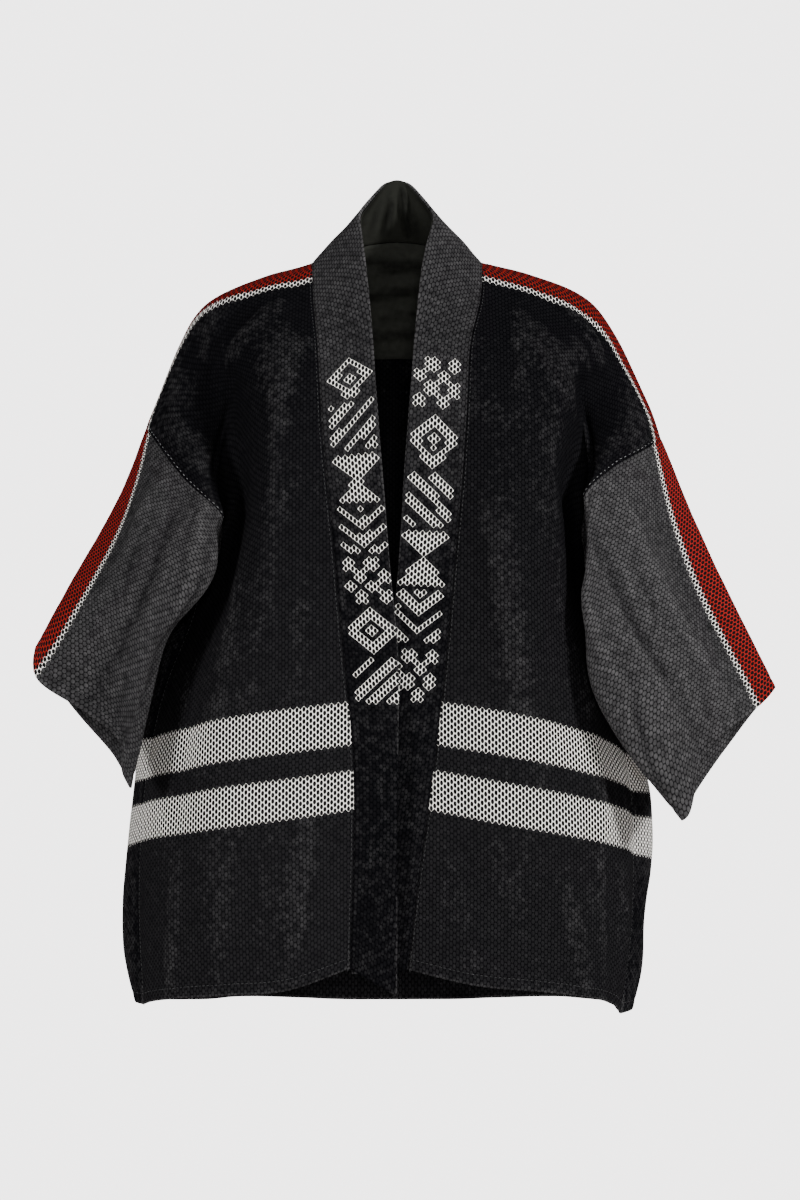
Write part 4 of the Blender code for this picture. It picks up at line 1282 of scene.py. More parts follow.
@dataclass
class ClothPiece:
    """One cut piece of cloth, made fine from its coarse patch, creased and given its wall."""

    name: str
    node: str
    cloth: Patchwork
    finish: Finish
    levels: int = 2
    wall: float = CLOTH_WALL
    clear: float = 0.0
    obj: bpy.types.Object | None = None

    def smooth_mesh(self) -> bpy.types.Mesh:
        """The patch as a finely divided mesh with its flat-cloth UV map.

        Returns:
            The mesh, with no wall yet.
        """
        points = [tuple(np.array(p) * MM) for p in self.cloth.points]
        mesh = bpy.data.meshes.new(self.name)
        mesh.from_pydata(points, [], [tuple(f) for f in self.cloth.faces])
        layer = mesh.uv_layers.new(name="flat")
        for loop in mesh.loops:
            across, along = self.cloth.flat[loop.vertex_index]
            layer.data[loop.index].uv = (across * MM, along * MM)
        draft = put(self.name + "_draft", mesh)
        divide = draft.modifiers.new("divide", "SUBSURF")
        divide.levels = self.levels
        divide.render_levels = self.levels
        divide.boundary_smooth = "PRESERVE_CORNERS"
        divide.uv_smooth = "SMOOTH_ALL"
        graph = bpy.context.evaluated_depsgraph_get()
        fine = bpy.data.meshes.new_from_object(draft.evaluated_get(graph))
        bpy.data.objects.remove(draft)
        fine.name = self.name
        return fine

    def build(self) -> None:
        """Make the piece: divide it, crease it, mark its ridges and give it its wall."""
        mesh = self.smooth_mesh()
        count = len(mesh.vertices)
        points = read_all(mesh.vertices, "co", 3)
        normals = read_all(mesh.vertices, "normal", 3)
        edges = read_all(mesh.edges, "vertices", 2, int)
        corner = read_all(mesh.loops, "vertex_index", 1, int).ravel()
        flat = np.zeros((count, 2))
        flat[corner] = read_all(mesh.uv_layers["flat"].data, "uv", 2)
        flat = flat / MM
        rim = self.rim(mesh, count)
        push = crease_height(self.node, flat) * rim
        push += wander(points / MM, self.name) * rim
        push += self.edge_relief(flat) - RIM_SINK * (1 - rim) ** 2 - self.clear
        points = points + normals * (push * MM).reshape(-1, 1)
        mesh.vertices.foreach_set("co", points.ravel())
        mesh.update()
        self.flat = flat
        # The ridge mark: ridges and free edges come out lighter as wear, troughs darker as painted shade.
        worn = WORN_RIM * self.free_edge(flat) * (1 - rim) ** 2.5
        ridge = np.clip(ridges(points, edges, normals) + worn, -1, WORN_RIM)
        mark = mesh.attributes.new("ridge", "FLOAT", "POINT")
        mark.data.foreach_set("value", ridge)
        for face in mesh.polygons:
            face.use_smooth = True
        self.obj = put(self.name, mesh)
        wall = self.obj.modifiers.new("wall", "SOLIDIFY")
        wall.thickness = self.wall * MM
        wall.offset = 0.0

    def cut(self) -> tuple[list[float], float]:
        """The size and area of the piece laid flat, in metres.

        Returns:
            Width and length, and the area.
        """
        mesh = self.obj.data
        low = self.flat.min(axis=0)
        high = self.flat.max(axis=0)
        area = 0.0
        for face in mesh.polygons:
            ring = [self.flat[k] for k in face.vertices]
            for one, two in zip(ring, ring[1:] + ring[:1]):
                area += (one[0] * two[1] - two[0] * one[1]) / 2
        size = ((high - low) * MM).tolist()
        area = abs(area) * MM * MM
        return size, min(area, size[0] * size[1])

    def rim(self, mesh: bpy.types.Mesh, count: int) -> Place:
        """How far inside the piece each point is.

        Args:
            mesh: The divided mesh.
            count: How many points it has.

        Returns:
            1 inside the piece, falling to 0 at its edges.
        """
        uses = np.zeros(len(mesh.edges), dtype=int)
        for face in mesh.polygons:
            for key in face.loop_indices:
                uses[mesh.loops[key].edge_index] += 1
        edges = read_all(mesh.edges, "vertices", 2, int)
        inside = np.ones(count)
        inside[edges[uses < 2].ravel()] = 0.0
        free = inside.copy()
        number = np.bincount(edges.ravel(), minlength=count)
        for _ in range(RIM_ROUNDS):
            inside = np.minimum(free, beside_sum(edges, inside) / number)
        return inside

    def free_edge(self, flat: Place) -> Place:
        """Where the piece has free edges, which wear.

        Args:
            flat: The points' places on the flat cloth.

        Returns:
            1 near a free edge and 0 elsewhere.
        """
        if self.finish in (Finish.STRIPED, Finish.PLAIN_SIDE):
            return (np.abs(flat[:, 1]) > FRONT_LENGTH - WORN_REACH).astype(float)
        if self.finish is Finish.BANDED:
            return (flat[:, 0] > EDGE_AT + SLEEVE_LENGTH - WORN_REACH).astype(float)
        if self.finish is Finish.COLLAR:
            return (flat[:, 0] > COLLAR_WORN_FROM).astype(float)
        return np.zeros(len(flat))

    def edge_relief(self, flat: Place) -> Place:
        """The groove of the stitching at the turned hems and cuffs, and the pucker beside it.

        Args:
            flat: The points' places on the flat cloth.

        Returns:
            The push at each point in millimetres.
        """
        relief = np.zeros(len(flat))
        if self.finish in (Finish.STRIPED, Finish.PLAIN_SIDE):
            for end in (FRONT_LENGTH, -FRONT_LENGTH):
                away = np.abs(flat[:, 1] - (end - math.copysign(HEM_TURNED, end)))
                relief += stitch_relief(away, flat[:, 0], HEM_WAVE)
        if self.finish is Finish.BANDED:
            away = np.abs(flat[:, 0] - (EDGE_AT + SLEEVE_LENGTH - HEM_TURNED))
            relief += stitch_relief(away, flat[:, 1], CUFF_WAVE)
        return relief


def crease_height(node: str, flat: Place) -> Place:
    """How far the creases push each point of a piece out.

    Args:
        node: The piece's name in CREASES.
        flat: The points' places on the flat cloth.

    Returns:
        The push at each point in millimetres.
    """
    total = np.zeros(len(flat))
    for c in (Crease(*row) for row in CREASES.get(node, ())):
        a = np.array((c.u_a, c.v_a), float)
        run = np.array((c.u_b, c.v_b), float) - a
        t = (flat - a) @ run / float(run @ run)
        near = np.clip(t, 0, 1)
        away = np.linalg.norm(flat - a - near.reshape(-1, 1) * run, axis=1) / c.half
        ends = np.sin(np.pi * (0.10 + 0.80 * near)) ** 0.8
        total += c.height * ends * np.exp(-away * away)
    return total


def wander(points: Place, name: str) -> Place:
    """A little unevenness all over, the same on each run.

    Args:
        points: Places in millimetres.
        name: Name that the seed is taken from.

    Returns:
        The push at each point in millimetres.
    """
    seed = float(sum(ord(letter) for letter in name) % 97)
    out = np.zeros(len(points))
    for k, p in enumerate(points):
        broad = noise.noise(Vector((p[0] / 70 + seed, p[1] / 70, p[2] / 90)))
        small = noise.noise(Vector((p[0] / 22, p[1] / 22 + seed, p[2] / 26)))
        out[k] = WANDER * broad + RIPPLE * small
    return out


def ridges(points: Place, edges: Place, normals: Place) -> Place:
    """How far each point stands proud of its surroundings.

    Args:
        points: Places in metres.
        edges: Pairs of point numbers.
        normals: The cloth's directions.

    Returns:
        -1 in troughs to 1 on ridges.
    """
    soft = points.copy()
    number = np.bincount(edges.ravel(), minlength=len(points)).reshape(-1, 1)
    for _ in range(RIDGE_ROUNDS):
        soft = 0.5 * soft + 0.5 * beside_sum(edges, soft) / number
    proud = ((points - soft) * normals).sum(axis=1) / MM
    return np.clip(proud / RIDGE_FULL, -1, 1)


class Field:
    """A number over a surface, worked out by Math nodes in one node tree."""

    def __init__(self, tree: bpy.types.NodeTree, socket: bpy.types.NodeSocket) -> None:
        """Stand for one output socket of the tree."""
        self.tree = tree
        self.socket = socket

    def math(self, operation: str, *others: "Field | float", clamp: bool = False) -> "Field":
        """Add one Math node that starts from this value.

        Args:
            operation: Name of the operation.
            others: The other values, if any.
            clamp: Keep the result between 0 and 1.

        Returns:
            The node's result.
        """
        node = self.tree.nodes.new("ShaderNodeMath")
        node.operation = operation
        node.use_clamp = clamp
        for place, value in enumerate((self, *others)):
            if isinstance(value, Field):
                self.tree.links.new(value.socket, node.inputs[place])
            else:
                node.inputs[place].default_value = value
        return Field(self.tree, node.outputs[0])

    def __add__(self, other: "Field | float") -> "Field":
        """The sum."""
        return self.math("ADD", other)

    def __sub__(self, other: "Field | float") -> "Field":
        """The difference."""
        return self.math("SUBTRACT", other)

    def __mul__(self, other: "Field | float") -> "Field":
        """The product."""
        return self.math("MULTIPLY", other)

    def __truediv__(self, other: "Field | float") -> "Field":
        """The quotient."""
        return self.math("DIVIDE", other)

    def size(self) -> "Field":
        """The value without its sign."""
        return self.math("ABSOLUTE")

    def under(self, other: "Field | float") -> "Field":
        """1 where it is less, else 0."""
        return self.math("LESS_THAN", other)

    def over(self, other: "Field | float") -> "Field":
        """1 where it is more, else 0."""
        return self.math("GREATER_THAN", other)

    def between(self, low: float, high: float) -> "Field":
        """1 where it lies between the two, else 0."""
        return self.over(low) * self.under(high)

    def either(self, other: "Field") -> "Field":
        """The larger of the two."""
        return self.math("MAXIMUM", other)

    def clamped(self) -> "Field":
        """The value kept between 0 and 1."""
        return self.math("MULTIPLY", 1.0, clamp=True)


def colour_mix(tree: bpy.types.NodeTree, share: Field, first: Colour, second: Colour) -> bpy.types.NodeSocket:
    """A Mix node between two colours, each a tuple or a socket.

    Args:
        tree: The node tree.
        share: Share of the second colour.
        first: The colour at 0.
        second: The colour at 1.

    Returns:
        The mixed colour.
    """
    node = tree.nodes.new("ShaderNodeMix")
    node.data_type = "RGBA"
    tree.links.new(share.socket, node.inputs[0])
    for place, value in ((6, first), (7, second)):
        if isinstance(value, tuple):
            node.inputs[place].default_value = (*value, 1.0)
        else:
            tree.links.new(value, node.inputs[place])
    return node.outputs[2]


def new_group(name: str, inputs: tuple, outputs: tuple[str, ...]) -> tuple:
    """An empty shader node group with named number sockets.

    Args:
        name: Its name.
        inputs: Each input's name and value.
        outputs: Names of the outputs.

    Returns:
        The tree, its inputs as fields by name, and its output node.
    """
    tree = bpy.data.node_groups.new(name, "ShaderNodeTree")
    for label, value in inputs:
        socket = tree.interface.new_socket(label, in_out="INPUT", socket_type="NodeSocketFloat")
        socket.default_value = value
    for label in outputs:
        tree.interface.new_socket(label, in_out="OUTPUT", socket_type="NodeSocketFloat")
    start = tree.nodes.new("NodeGroupInput")
    end = tree.nodes.new("NodeGroupOutput")
    given = {label: Field(tree, start.outputs[label]) for label, _ in inputs}
    return tree, given, end


def rice_weave_group() -> bpy.types.ShaderNodeTree:
    """The rice-grain weave: a centred lattice of grains, with the place of the nearest grain.

    Returns:
        The group.
    """
    inputs = (("Across", 0.0), ("Along", 0.0), ("Pitch Across", 6.9), ("Pitch Along", 5.9),
              ("Grain Across", 1.66), ("Grain Along", 2.5))
    tree, given, end = new_group("rice_grain_weave", inputs, ("Cell Across", "Cell Along", "Grain", "Relief"))
    u = given["Across"] / given["Pitch Across"]
    v = given["Along"] / given["Pitch Along"]
    u_even = u.math("ROUND")
    v_even = v.math("ROUND")
    u_odd = u.math("FLOOR") + 0.5
    v_odd = v.math("FLOOR") + 0.5
    du_even = (u - u_even) * given["Pitch Across"]
    dv_even = (v - v_even) * given["Pitch Along"]
    du_odd = (u - u_odd) * given["Pitch Across"]
    dv_odd = (v - v_odd) * given["Pitch Along"]
    odd = (du_odd * du_odd + dv_odd * dv_odd).under(du_even * du_even + dv_even * dv_even)
    cell_u = (u_even + (u_odd - u_even) * odd) * given["Pitch Across"]
    cell_v = (v_even + (v_odd - v_even) * odd) * given["Pitch Along"]
    du = (given["Across"] - cell_u) / given["Grain Across"]
    dv = (given["Along"] - cell_v) / given["Grain Along"]
    reach = (du * du + dv * dv).math("SQRT")
    grain = ((reach * -1.0 + 1.18) * 2.8).clamped()
    relief = ((reach * -0.5) + 1.0).clamped()
    results = {"Cell Across": cell_u, "Cell Along": cell_v, "Grain": grain, "Relief": relief}
    for label, value in results.items():
        tree.links.new(value.socket, end.inputs[label])
    return tree


def wear_and_shade_group() -> bpy.types.ShaderNodeTree:
    """Where the cloth is worn, on ridges, along worn edges and in broad uneven clouds, with painted shade
    darker in the troughs.

    Returns:
        The group.
    """
    inputs = (("Ridge", 0.0), ("Amount", 0.5), ("Cloud Scale", 9.0), ("Speck Scale", 160.0))
    tree, given, end = new_group("wear_and_trough_shade", inputs, ("Worn And Shaded", "Speck"))
    place = tree.nodes.new("ShaderNodeTexCoord")
    cloud = tree.nodes.new("ShaderNodeTexNoise")
    cloud.inputs["Detail"].default_value = 6.0
    cloud.inputs["Roughness"].default_value = 0.62
    speck = tree.nodes.new("ShaderNodeTexNoise")
    speck.inputs["Detail"].default_value = 3.0
    tree.links.new(place.outputs["Object"], cloud.inputs["Vector"])
    tree.links.new(place.outputs["Object"], speck.inputs["Vector"])
    tree.links.new(given["Cloud Scale"].socket, cloud.inputs["Scale"])
    tree.links.new(given["Speck Scale"].socket, speck.inputs["Scale"])
    clouds = (Field(tree, cloud.outputs[0]) - 0.5) * CLOUD_SWING
    specks = (Field(tree, speck.outputs[0]) - 0.5) * SPECK_SWING
    # Ridges lighten as wear and troughs darken as painted shade.
    worn_and_shaded = given["Ridge"] * RIDGE_WEAR_AND_SHADE + clouds * CLOUDS_FADE + given["Amount"] + specks * SPECKS_FADE
    tree.links.new(worn_and_shaded.clamped().socket, end.inputs["Worn And Shaded"])
    tree.links.new((specks + 0.5).clamped().socket, end.inputs["Speck"])
    return tree


def collar_motif_group() -> bpy.types.ShaderNodeTree:
    """Plain geometric motifs down each side of the collar: lozenges, hourglasses, checks, bars, chevrons.

    Returns:
        The group.
    """
    inputs = (("Cell Across", 0.0), ("Cell Along", 0.0), ("First", 268.0), ("Pitch Right", 50.0),
              ("Count Right", 7.0), ("Pitch Left", 58.5), ("Count Left", 6.0), ("Middle", 31.0),
              ("Half Width", 24.0))
    tree, given, end = new_group("collar_motifs", inputs, ("Motif",))
    left = given["Cell Along"].over(0.0)
    pitch = given["Pitch Right"] + (given["Pitch Left"] - given["Pitch Right"]) * left
    count = given["Count Right"] + (given["Count Left"] - given["Count Right"]) * left
    place = (given["Cell Along"].size() - given["First"]) / pitch
    number = place.math("FLOOR")
    a = (given["Cell Across"] - given["Middle"]) / given["Half Width"]
    b = (place - number - 0.5) * 2.26
    span = a.size() + b.size()
    lozenge = span.between(0.60, 1.05).either(span.under(0.28))
    glass = a.size().under(b.size() + 0.05)
    checks = ((a + 1.0) * 2.0).math("FLOOR") + ((b + 1.0) * 2.0).math("FLOOR")
    checks = checks.math("MODULO", 2.0).under(0.5)
    slants = (a * 0.9 + b + 3.0).math("MODULO", 0.86).under(0.45)
    chevrons = (a.size() * 0.8 + b + 2.0).math("MODULO", 0.78).under(0.42)
    kind = (number * 3.0 + left * 2.0).math("MODULO", 5.0)
    motif = lozenge * kind.between(-0.5, 0.5)
    for shape, low in ((glass, 0.5), (checks, 1.5), (slants, 2.5), (chevrons, 3.5)):
        motif = motif.either(shape * kind.between(low, low + 1.0))
    motif = motif * a.size().under(1.0) * b.size().under(1.0) * place.over(0.0) * place.under(count)
    tree.links.new(motif.socket, end.inputs["Motif"])
    return tree


def new_material(name: str, sheen: float) -> tuple[bpy.types.Material, bpy.types.NodeTree, bpy.types.Node]:
    """An empty material for cloth or thread.

    Args:
        name: Its name.
        sheen: How much it mirrors, from 0 to 1.

    Returns:
        The material, its tree and its shader.
    """
    made = bpy.data.materials.new(name)
    made.use_nodes = True
    shader = made.node_tree.nodes["Principled BSDF"]
    shader.inputs["Specular IOR Level"].default_value = sheen
    return made, made.node_tree, shader


def flat_fields(tree: bpy.types.NodeTree, scale: float) -> tuple[Field, Field]:
    """The place on the flat cloth, from the piece's UV map.

    Args:
        tree: The material's tree.
        scale: What a metre counts as.

    Returns:
        The places across and along.
    """
    uv = tree.nodes.new("ShaderNodeUVMap")
    uv.uv_map = "flat"
    split = tree.nodes.new("ShaderNodeSeparateXYZ")
    tree.links.new(uv.outputs[0], split.inputs[0])
    return Field(tree, split.outputs[0]) * scale, Field(tree, split.outputs[1]) * scale


def placed(
    tree: bpy.types.NodeTree, group: bpy.types.ShaderNodeTree, links: dict[str, Field],
) -> bpy.types.Node:
    """Put a shared group into the tree and connect its inputs.

    Args:
        tree: The material's tree.
        group: The shared group.
        links: The fields for its inputs by name.

    Returns:
        The group's node.
    """
    node = tree.nodes.new("ShaderNodeGroup")
    node.node_tree = group
    for label, value in links.items():
        tree.links.new(value.socket, node.inputs[label])
    return node


def place_wear_and_shade(tree: bpy.types.NodeTree, groups: Groups, amount: float) -> bpy.types.Node:
    """Place the group of wear and painted trough shade, fed by the piece's ridge attribute.

    Args:
        tree: The material's tree.
        groups: The shared groups by name.
        amount: How worn the cloth is all over.

    Returns:
        The group's node.
    """
    mark = tree.nodes.new("ShaderNodeAttribute")
    mark.attribute_name = "ridge"
    fade = placed(tree, groups["wear_and_trough_shade"], {"Ridge": Field(tree, mark.outputs["Fac"])})
    fade.inputs["Amount"].default_value = amount
    return fade


def add_bump(shader: bpy.types.Node, height: Field, strength: float, distance: float) -> None:
    """Give the shader a bump from a height.

    Args:
        shader: The shader.
        height: The height over the surface.
        strength: How strongly it shows.
        distance: How many metres a height of 1 stands for.
    """
    bump = height.tree.nodes.new("ShaderNodeBump")
    bump.inputs["Strength"].default_value = strength
    bump.inputs["Distance"].default_value = distance
    height.tree.links.new(height.socket, bump.inputs["Height"])
    height.tree.links.new(bump.outputs[0], shader.inputs["Normal"])


@dataclass(frozen=True)
class ClothFinish:
    """The dyed and woven finish of one kind of piece."""

    name: str
    kind: Finish
    amount: float = 0.3
    dark: Shade = (0.0009, 0.0009, 0.0012)
    worn: Shade = (0.0090, 0.0086, 0.0088)
    grain_dark: Shade = (0.0046, 0.0045, 0.0051)
    grain_worn: Shade = (0.070, 0.068, 0.069)
    white: Shade = (0.84, 0.815, 0.77)
    red: Shade = (0.30, 0.0110, 0.0085)
    stained_and_shaded: Shade = (0.50, 0.48, 0.44)
    sunk_grain: Shade = (0.004, 0.0038, 0.004)
    roughness: float = 0.86
    relief: float = 0.55
    relief_depth: float = 0.0009
    net_rises: float = 1.6
    lower: float = 0.0

    def material(self, groups: Groups) -> bpy.types.Material:
        """Build the material from the shared groups.

        Args:
            groups: The shared groups by name.

        Returns:
            The finished material.
        """
        made, tree, shader = new_material(self.name, 0.0)
        across, along = flat_fields(tree, 1 / MM)
        weave = placed(tree, groups["weave"], {"Across": across, "Along": along})
        cell_u = Field(tree, weave.outputs["Cell Across"])
        cell_v = Field(tree, weave.outputs["Cell Along"])
        grain = Field(tree, weave.outputs["Grain"])
        # Wear, with painted shade in the troughs between folds, sets how light the cloth and its grains are.
        fade = place_wear_and_shade(tree, groups, self.amount)
        worn_and_shaded = Field(tree, fade.outputs["Worn And Shaded"])
        # Tone shifts along the cloth: the body darker at the top and lighter towards the hem, the collar
        # darker away from the nape.
        if self.lower:
            down = ((along.size() - TONE_SHIFT_FROM) / TONE_SHIFT_OVER).clamped()
            worn_and_shaded = (worn_and_shaded + down * self.lower).clamped()
        speck = Field(tree, fade.outputs["Speck"])
        ground = colour_mix(tree, worn_and_shaded, self.dark, self.worn)
        grains = colour_mix(tree, worn_and_shaded, self.grain_dark, self.grain_worn)
        cloth = colour_mix(tree, grain * (speck * 0.6 + 0.4), ground, grains)
        pale = self.pale_mask(tree, groups, cell_u, cell_v)
        band = self.band_mask(cell_u, cell_v)
        net = grain * -1.0 + 1.0
        # The white is dimmed by stains and by painted shade in the troughs.
        dirt_and_shade = (speck * 0.22 + 0.80) * (worn_and_shaded * 0.16 + 0.86)
        white = colour_mix(tree, dirt_and_shade.clamped(), self.stained_and_shaded, self.white)
        dull_red = tuple(0.45 * c for c in self.red)
        bright = colour_mix(tree, (worn_and_shaded * 0.8 + speck * 0.35).clamped(), dull_red, self.red)
        dyed = colour_mix(tree, band, white, bright) if band else white
        shown = pale.either(band) if band else pale
        woven = colour_mix(tree, net * shown, cloth, dyed)
        dark_grain = colour_mix(tree, grain * shown, woven, self.sunk_grain)
        tree.links.new(dark_grain, shader.inputs["Base Color"])
        rough = (worn_and_shaded * 0.08 + self.roughness).clamped()
        tree.links.new(rough.socket, shader.inputs["Roughness"])
        relief = Field(tree, weave.outputs["Relief"])
        height = relief * (shown * -self.net_rises + 1.0) + speck * 0.25
        add_bump(shader, height, self.relief, self.relief_depth)
        return made

    def pale_mask(self, tree: bpy.types.NodeTree, groups: Groups, cell_u: Field, cell_v: Field) -> Field:
        """Where the net of the weave is white.

        Args:
            tree: The material's tree.
            groups: The shared groups.
            cell_u: The grain's place across.
            cell_v: The grain's place along.

        Returns:
            1 where it is white, else 0.
        """
        away = cell_v.size()
        if self.kind in (Finish.STRIPED, Finish.PLAIN_SIDE):
            pale = away.between(*STRIPE_HIGH).either(away.between(*STRIPE_LOW))
            if self.kind is Finish.STRIPED:
                pale = pale.either(away.between(BAND_HALF, BAND_EDGE) * cell_u.over(NECK_AT))
            return pale
        if self.kind is Finish.BANDED:
            return away.between(BAND_HALF, BAND_EDGE)
        motifs = placed(tree, groups["motifs"], {"Cell Across": cell_u, "Cell Along": cell_v})
        return Field(tree, motifs.outputs["Motif"])

    def band_mask(self, cell_u: Field, cell_v: Field) -> Field | None:
        """Where the net of the weave is red.

        Args:
            cell_u: The grain's place across.
            cell_v: The grain's place along.

        Returns:
            1 where it is red, or None on a piece with no shoulder band.
        """
        if self.kind in (Finish.STRIPED, Finish.BANDED):
            return cell_v.size().under(BAND_HALF) * cell_u.over(NECK_AT)
        return None


@dataclass(frozen=True)
class LiningFinish:
    """The plain thin cotton inside the collar and below the neck."""

    name: str
    colour: Shade = (0.0022, 0.0023, 0.0019)
    worn: Shade = (0.0440, 0.0455, 0.0385)
    threads_per_metre: float = 5200.0
    amount: float = 0.25
    relief: float = 0.3
    relief_depth: float = 0.0003

    def material(self, groups: Groups) -> bpy.types.Material:
        """Build the material: fine threads, wear on the folds and painted shade in their troughs.

        Args:
            groups: The shared groups by name.

        Returns:
            The finished material.
        """
        made, tree, shader = new_material(self.name, 0.03)
        u, v = flat_fields(tree, self.threads_per_metre)
        threads = (u.math("SINE") * v.math("SINE")) * 0.5 + 0.5
        worn_and_shaded = Field(tree, place_wear_and_shade(tree, groups, self.amount).outputs["Worn And Shaded"])
        # Worn folds come out lighter and troughs darker as painted shade.
        colour = colour_mix(tree, (worn_and_shaded * 0.7 + threads * 0.2).clamped(), self.colour, self.worn)
        tree.links.new(colour, shader.inputs["Base Color"])
        tree.links.new((worn_and_shaded * 0.1 + 0.72).clamped().socket, shader.inputs["Roughness"])
        add_bump(shader, threads, self.relief, self.relief_depth)
        return made


@dataclass(frozen=True)
class ThreadFinish:
    """Twisted sewing thread."""

    name: str
    colour: Shade

    def material(self) -> bpy.types.Material:
        """Build the material: one shade with the grain of its twist.

        Returns:
            The finished material.
        """
        made, tree, shader = new_material(self.name, 0.5)
        shader.inputs["Roughness"].default_value = 0.7
        place = tree.nodes.new("ShaderNodeTexCoord")
        grain = tree.nodes.new("ShaderNodeTexNoise")
        grain.inputs["Scale"].default_value = 900.0
        tree.links.new(place.outputs["Object"], grain.inputs["Vector"])
        deep = tuple(0.6 * c for c in self.colour)
        shade = colour_mix(tree, Field(tree, grain.outputs[0]), deep, self.colour)
        tree.links.new(shade, shader.inputs["Base Color"])
        return made


def cut_pieces() -> tuple:
    """Make every patch of cloth in its place, with its flat-cloth coordinates.

    Returns:
        Body halves, sleeves and gussets by side, the collar, the neck patch and the collar's lining.
    """
    forms = {}
    bodies = {}
    sleeves = {}
    gussets = {}
    tables = ((1, FRONT_LEFT, RIDGE_LEFT, SLEEVE_LEFT), (-1, FRONT_RIGHT, RIDGE_RIGHT, SLEEVE_RIGHT))
    for side, fronts, ridge, rows in tables:
        sleeve_form = SleeveForm(rows)
        forms[side] = BodyForm(side, fronts, ridge, sleeve_form)
        bodies[side] = body_half(forms[side])
        sleeves[side] = sleeve_piece(sleeve_form, bodies[side])
        gussets[side] = gusset_piece(forms[side], bodies[side])
    levels = bodies[1].front_levels
    seams, frees = collar_stations(forms[1], forms[-1], levels)
    collar = collar_piece(seams, frees)
    pieces = [collar] + [group[s] for group in (bodies, sleeves, gussets) for s in (1, -1)]
    for side in (1, -1):
        for level in (ARMHOLE_FRONT, -ARMHOLE_BACK):
            relax(bodies[side], forms[side].edge(level), ARMPIT_REACH, ARMPIT_ROUNDS)
    for piece in pieces:
        piece.found = piece.normals()
        piece.inward = inward_of(piece)
    match_seams(collar_groups(bodies, collar))
    middle = collar.grid[len(levels) + NECK_COLUMNS - 1][0]
    nape = collar.found[middle] + bodies[1].found[bodies[1].inner[-1][0]]
    nape = (nape + bodies[-1].found[bodies[-1].inner[-1][0]]) * np.array((0.0, 1.0, 1.0))
    nape = nape / np.linalg.norm(nape)
    collar.pinned[middle] = nape
    for side in (1, -1):
        fit_side(bodies[side], sleeves[side], gussets[side], nape)
    draw_in(collar, [row[0] for row in collar.grid], [row[1] for row in collar.grid])
    for piece in (collar, bodies[1], bodies[-1]):
        piece.final = piece.normals()
    patch = lining_piece(lining_grid(bodies), CLOTH_WALL)
    face_out(patch, patch.grid[3][NECK_COLUMNS + 3], (0, 1, 0))
    first = len(levels) - 3
    strip = collar.grid[first: len(collar.grid) - first]
    columns = [[(collar, row[k]) for row in strip] for k in range(COLLAR_COLUMNS + 1)]
    facing = lining_piece(columns, COLLAR_WALL)
    face_out(facing, facing.grid[2][len(strip) // 2], (0, 1, 0))
    opened = {side: open_underarm(sleeves[side]) for side in (1, -1)}
    flat_places(bodies, opened, gussets, collar, patch, facing)
    return bodies, opened, gussets, collar, patch, facing


def fit_side(body: Patchwork, sleeve: Patchwork, gusset: Patchwork, nape: Place) -> None:
    """Draw the pieces of one side back from their seams.

    Args:
        body: Half of the body.
        sleeve: Its sleeve.
        gusset: Its gusset.
        nape: The cloth's direction at the nape.
    """
    match_seams(armhole_groups(body, sleeve, gusset))
    match_seams(side_groups(body, gusset))
    for row in body.inner:
        straight = body.found[row[0]] * np.array((0.0, 1.0, 1.0))
        body.pinned[row[0]] = straight / np.linalg.norm(straight)
    body.pinned[body.inner[-1][0]] = nape
    order = sorted(body.grid)
    fronts = [v for v in order if v >= 0]
    draw_in(body, [body.grid[v][-1] for v in order], [body.grid[v][-2] for v in order])
    draw_in(
        body,
        body.inner[-1][:-1] + [body.grid[v][0] for v in fronts],
        body.inner[-2][:-1] + [body.grid[v][1] for v in fronts],
    )
    draw_in(sleeve, sleeve.ring + sleeve.ring[:1], sleeve.second + sleeve.second[:1])
    for column, beside in ((0, 1), (-1, -2)):
        draw_in(gusset, [r[column] for r in gusset.grid], [r[beside] for r in gusset.grid])
    for a, b in zip(gusset.grid[0], gusset.grid[1]):
        way = gusset.points[b] - gusset.points[a]
        gusset.points[a] = gusset.points[a] + way * GUSSET_DROP / np.linalg.norm(way)
    top = gusset.grid[0]
    for k in range(1, GUSSET_COLUMNS):
        share = k / GUSSET_COLUMNS
        first = gusset.back.get(top[0], np.zeros(3))
        second = gusset.back.get(top[-1], np.zeros(3))
        gusset.back[top[k]] = first * (1 - share) + second * share
    for piece in (body, sleeve, gusset):
        lie_back(piece)


class FlatMap:
    """Finds the place in space of a point on the flat cloth of one piece."""

    def __init__(self, piece: ClothPiece) -> None:
        """Chart one finished piece by its places on the flat cloth.

        Args:
            piece: The piece.
        """
        mesh = piece.obj.data
        self.flat = piece.flat
        self.points = np.array([v.co[:] for v in mesh.vertices])
        self.normals = np.array([v.normal[:] for v in mesh.vertices])
        self.lift = piece.wall / 2
        mesh.calc_loop_triangles()
        self.faces = [tuple(t.vertices) for t in mesh.loop_triangles]
        corners = [(u, v, 0.0) for u, v in self.flat]
        self.tree = BVHTree.FromPolygons(corners, self.faces)

    def at(self, u: float, v: float) -> Place:
        """The place in space just above the outside of the cloth.

        Args:
            u: Place across the flat cloth.
            v: Place along it.

        Returns:
            The place in metres.
        """
        spot, _, index, _ = self.tree.find_nearest((u, v, 0.0))
        face = self.faces[index]
        a, b, c = (self.flat[k] for k in face)
        area = (b[0] - a[0]) * (c[1] - a[1]) - (c[0] - a[0]) * (b[1] - a[1])
        if abs(area) < 1e-9:
            weights = (1.0, 0.0, 0.0)
        else:
            second = ((spot[0] - a[0]) * (c[1] - a[1]) - (c[0] - a[0]) * (spot[1] - a[1])) / area
            third = ((b[0] - a[0]) * (spot[1] - a[1]) - (spot[0] - a[0]) * (b[1] - a[1])) / area
            weights = (1 - second - third, second, third)
        place = sum(self.points[k] * w for k, w in zip(face, weights))
        normal = sum(self.normals[k] * w for k, w in zip(face, weights))
        normal = normal / max(np.linalg.norm(normal), 1e-9)
        return place + normal * (self.lift + STITCH_LIFT) * MM


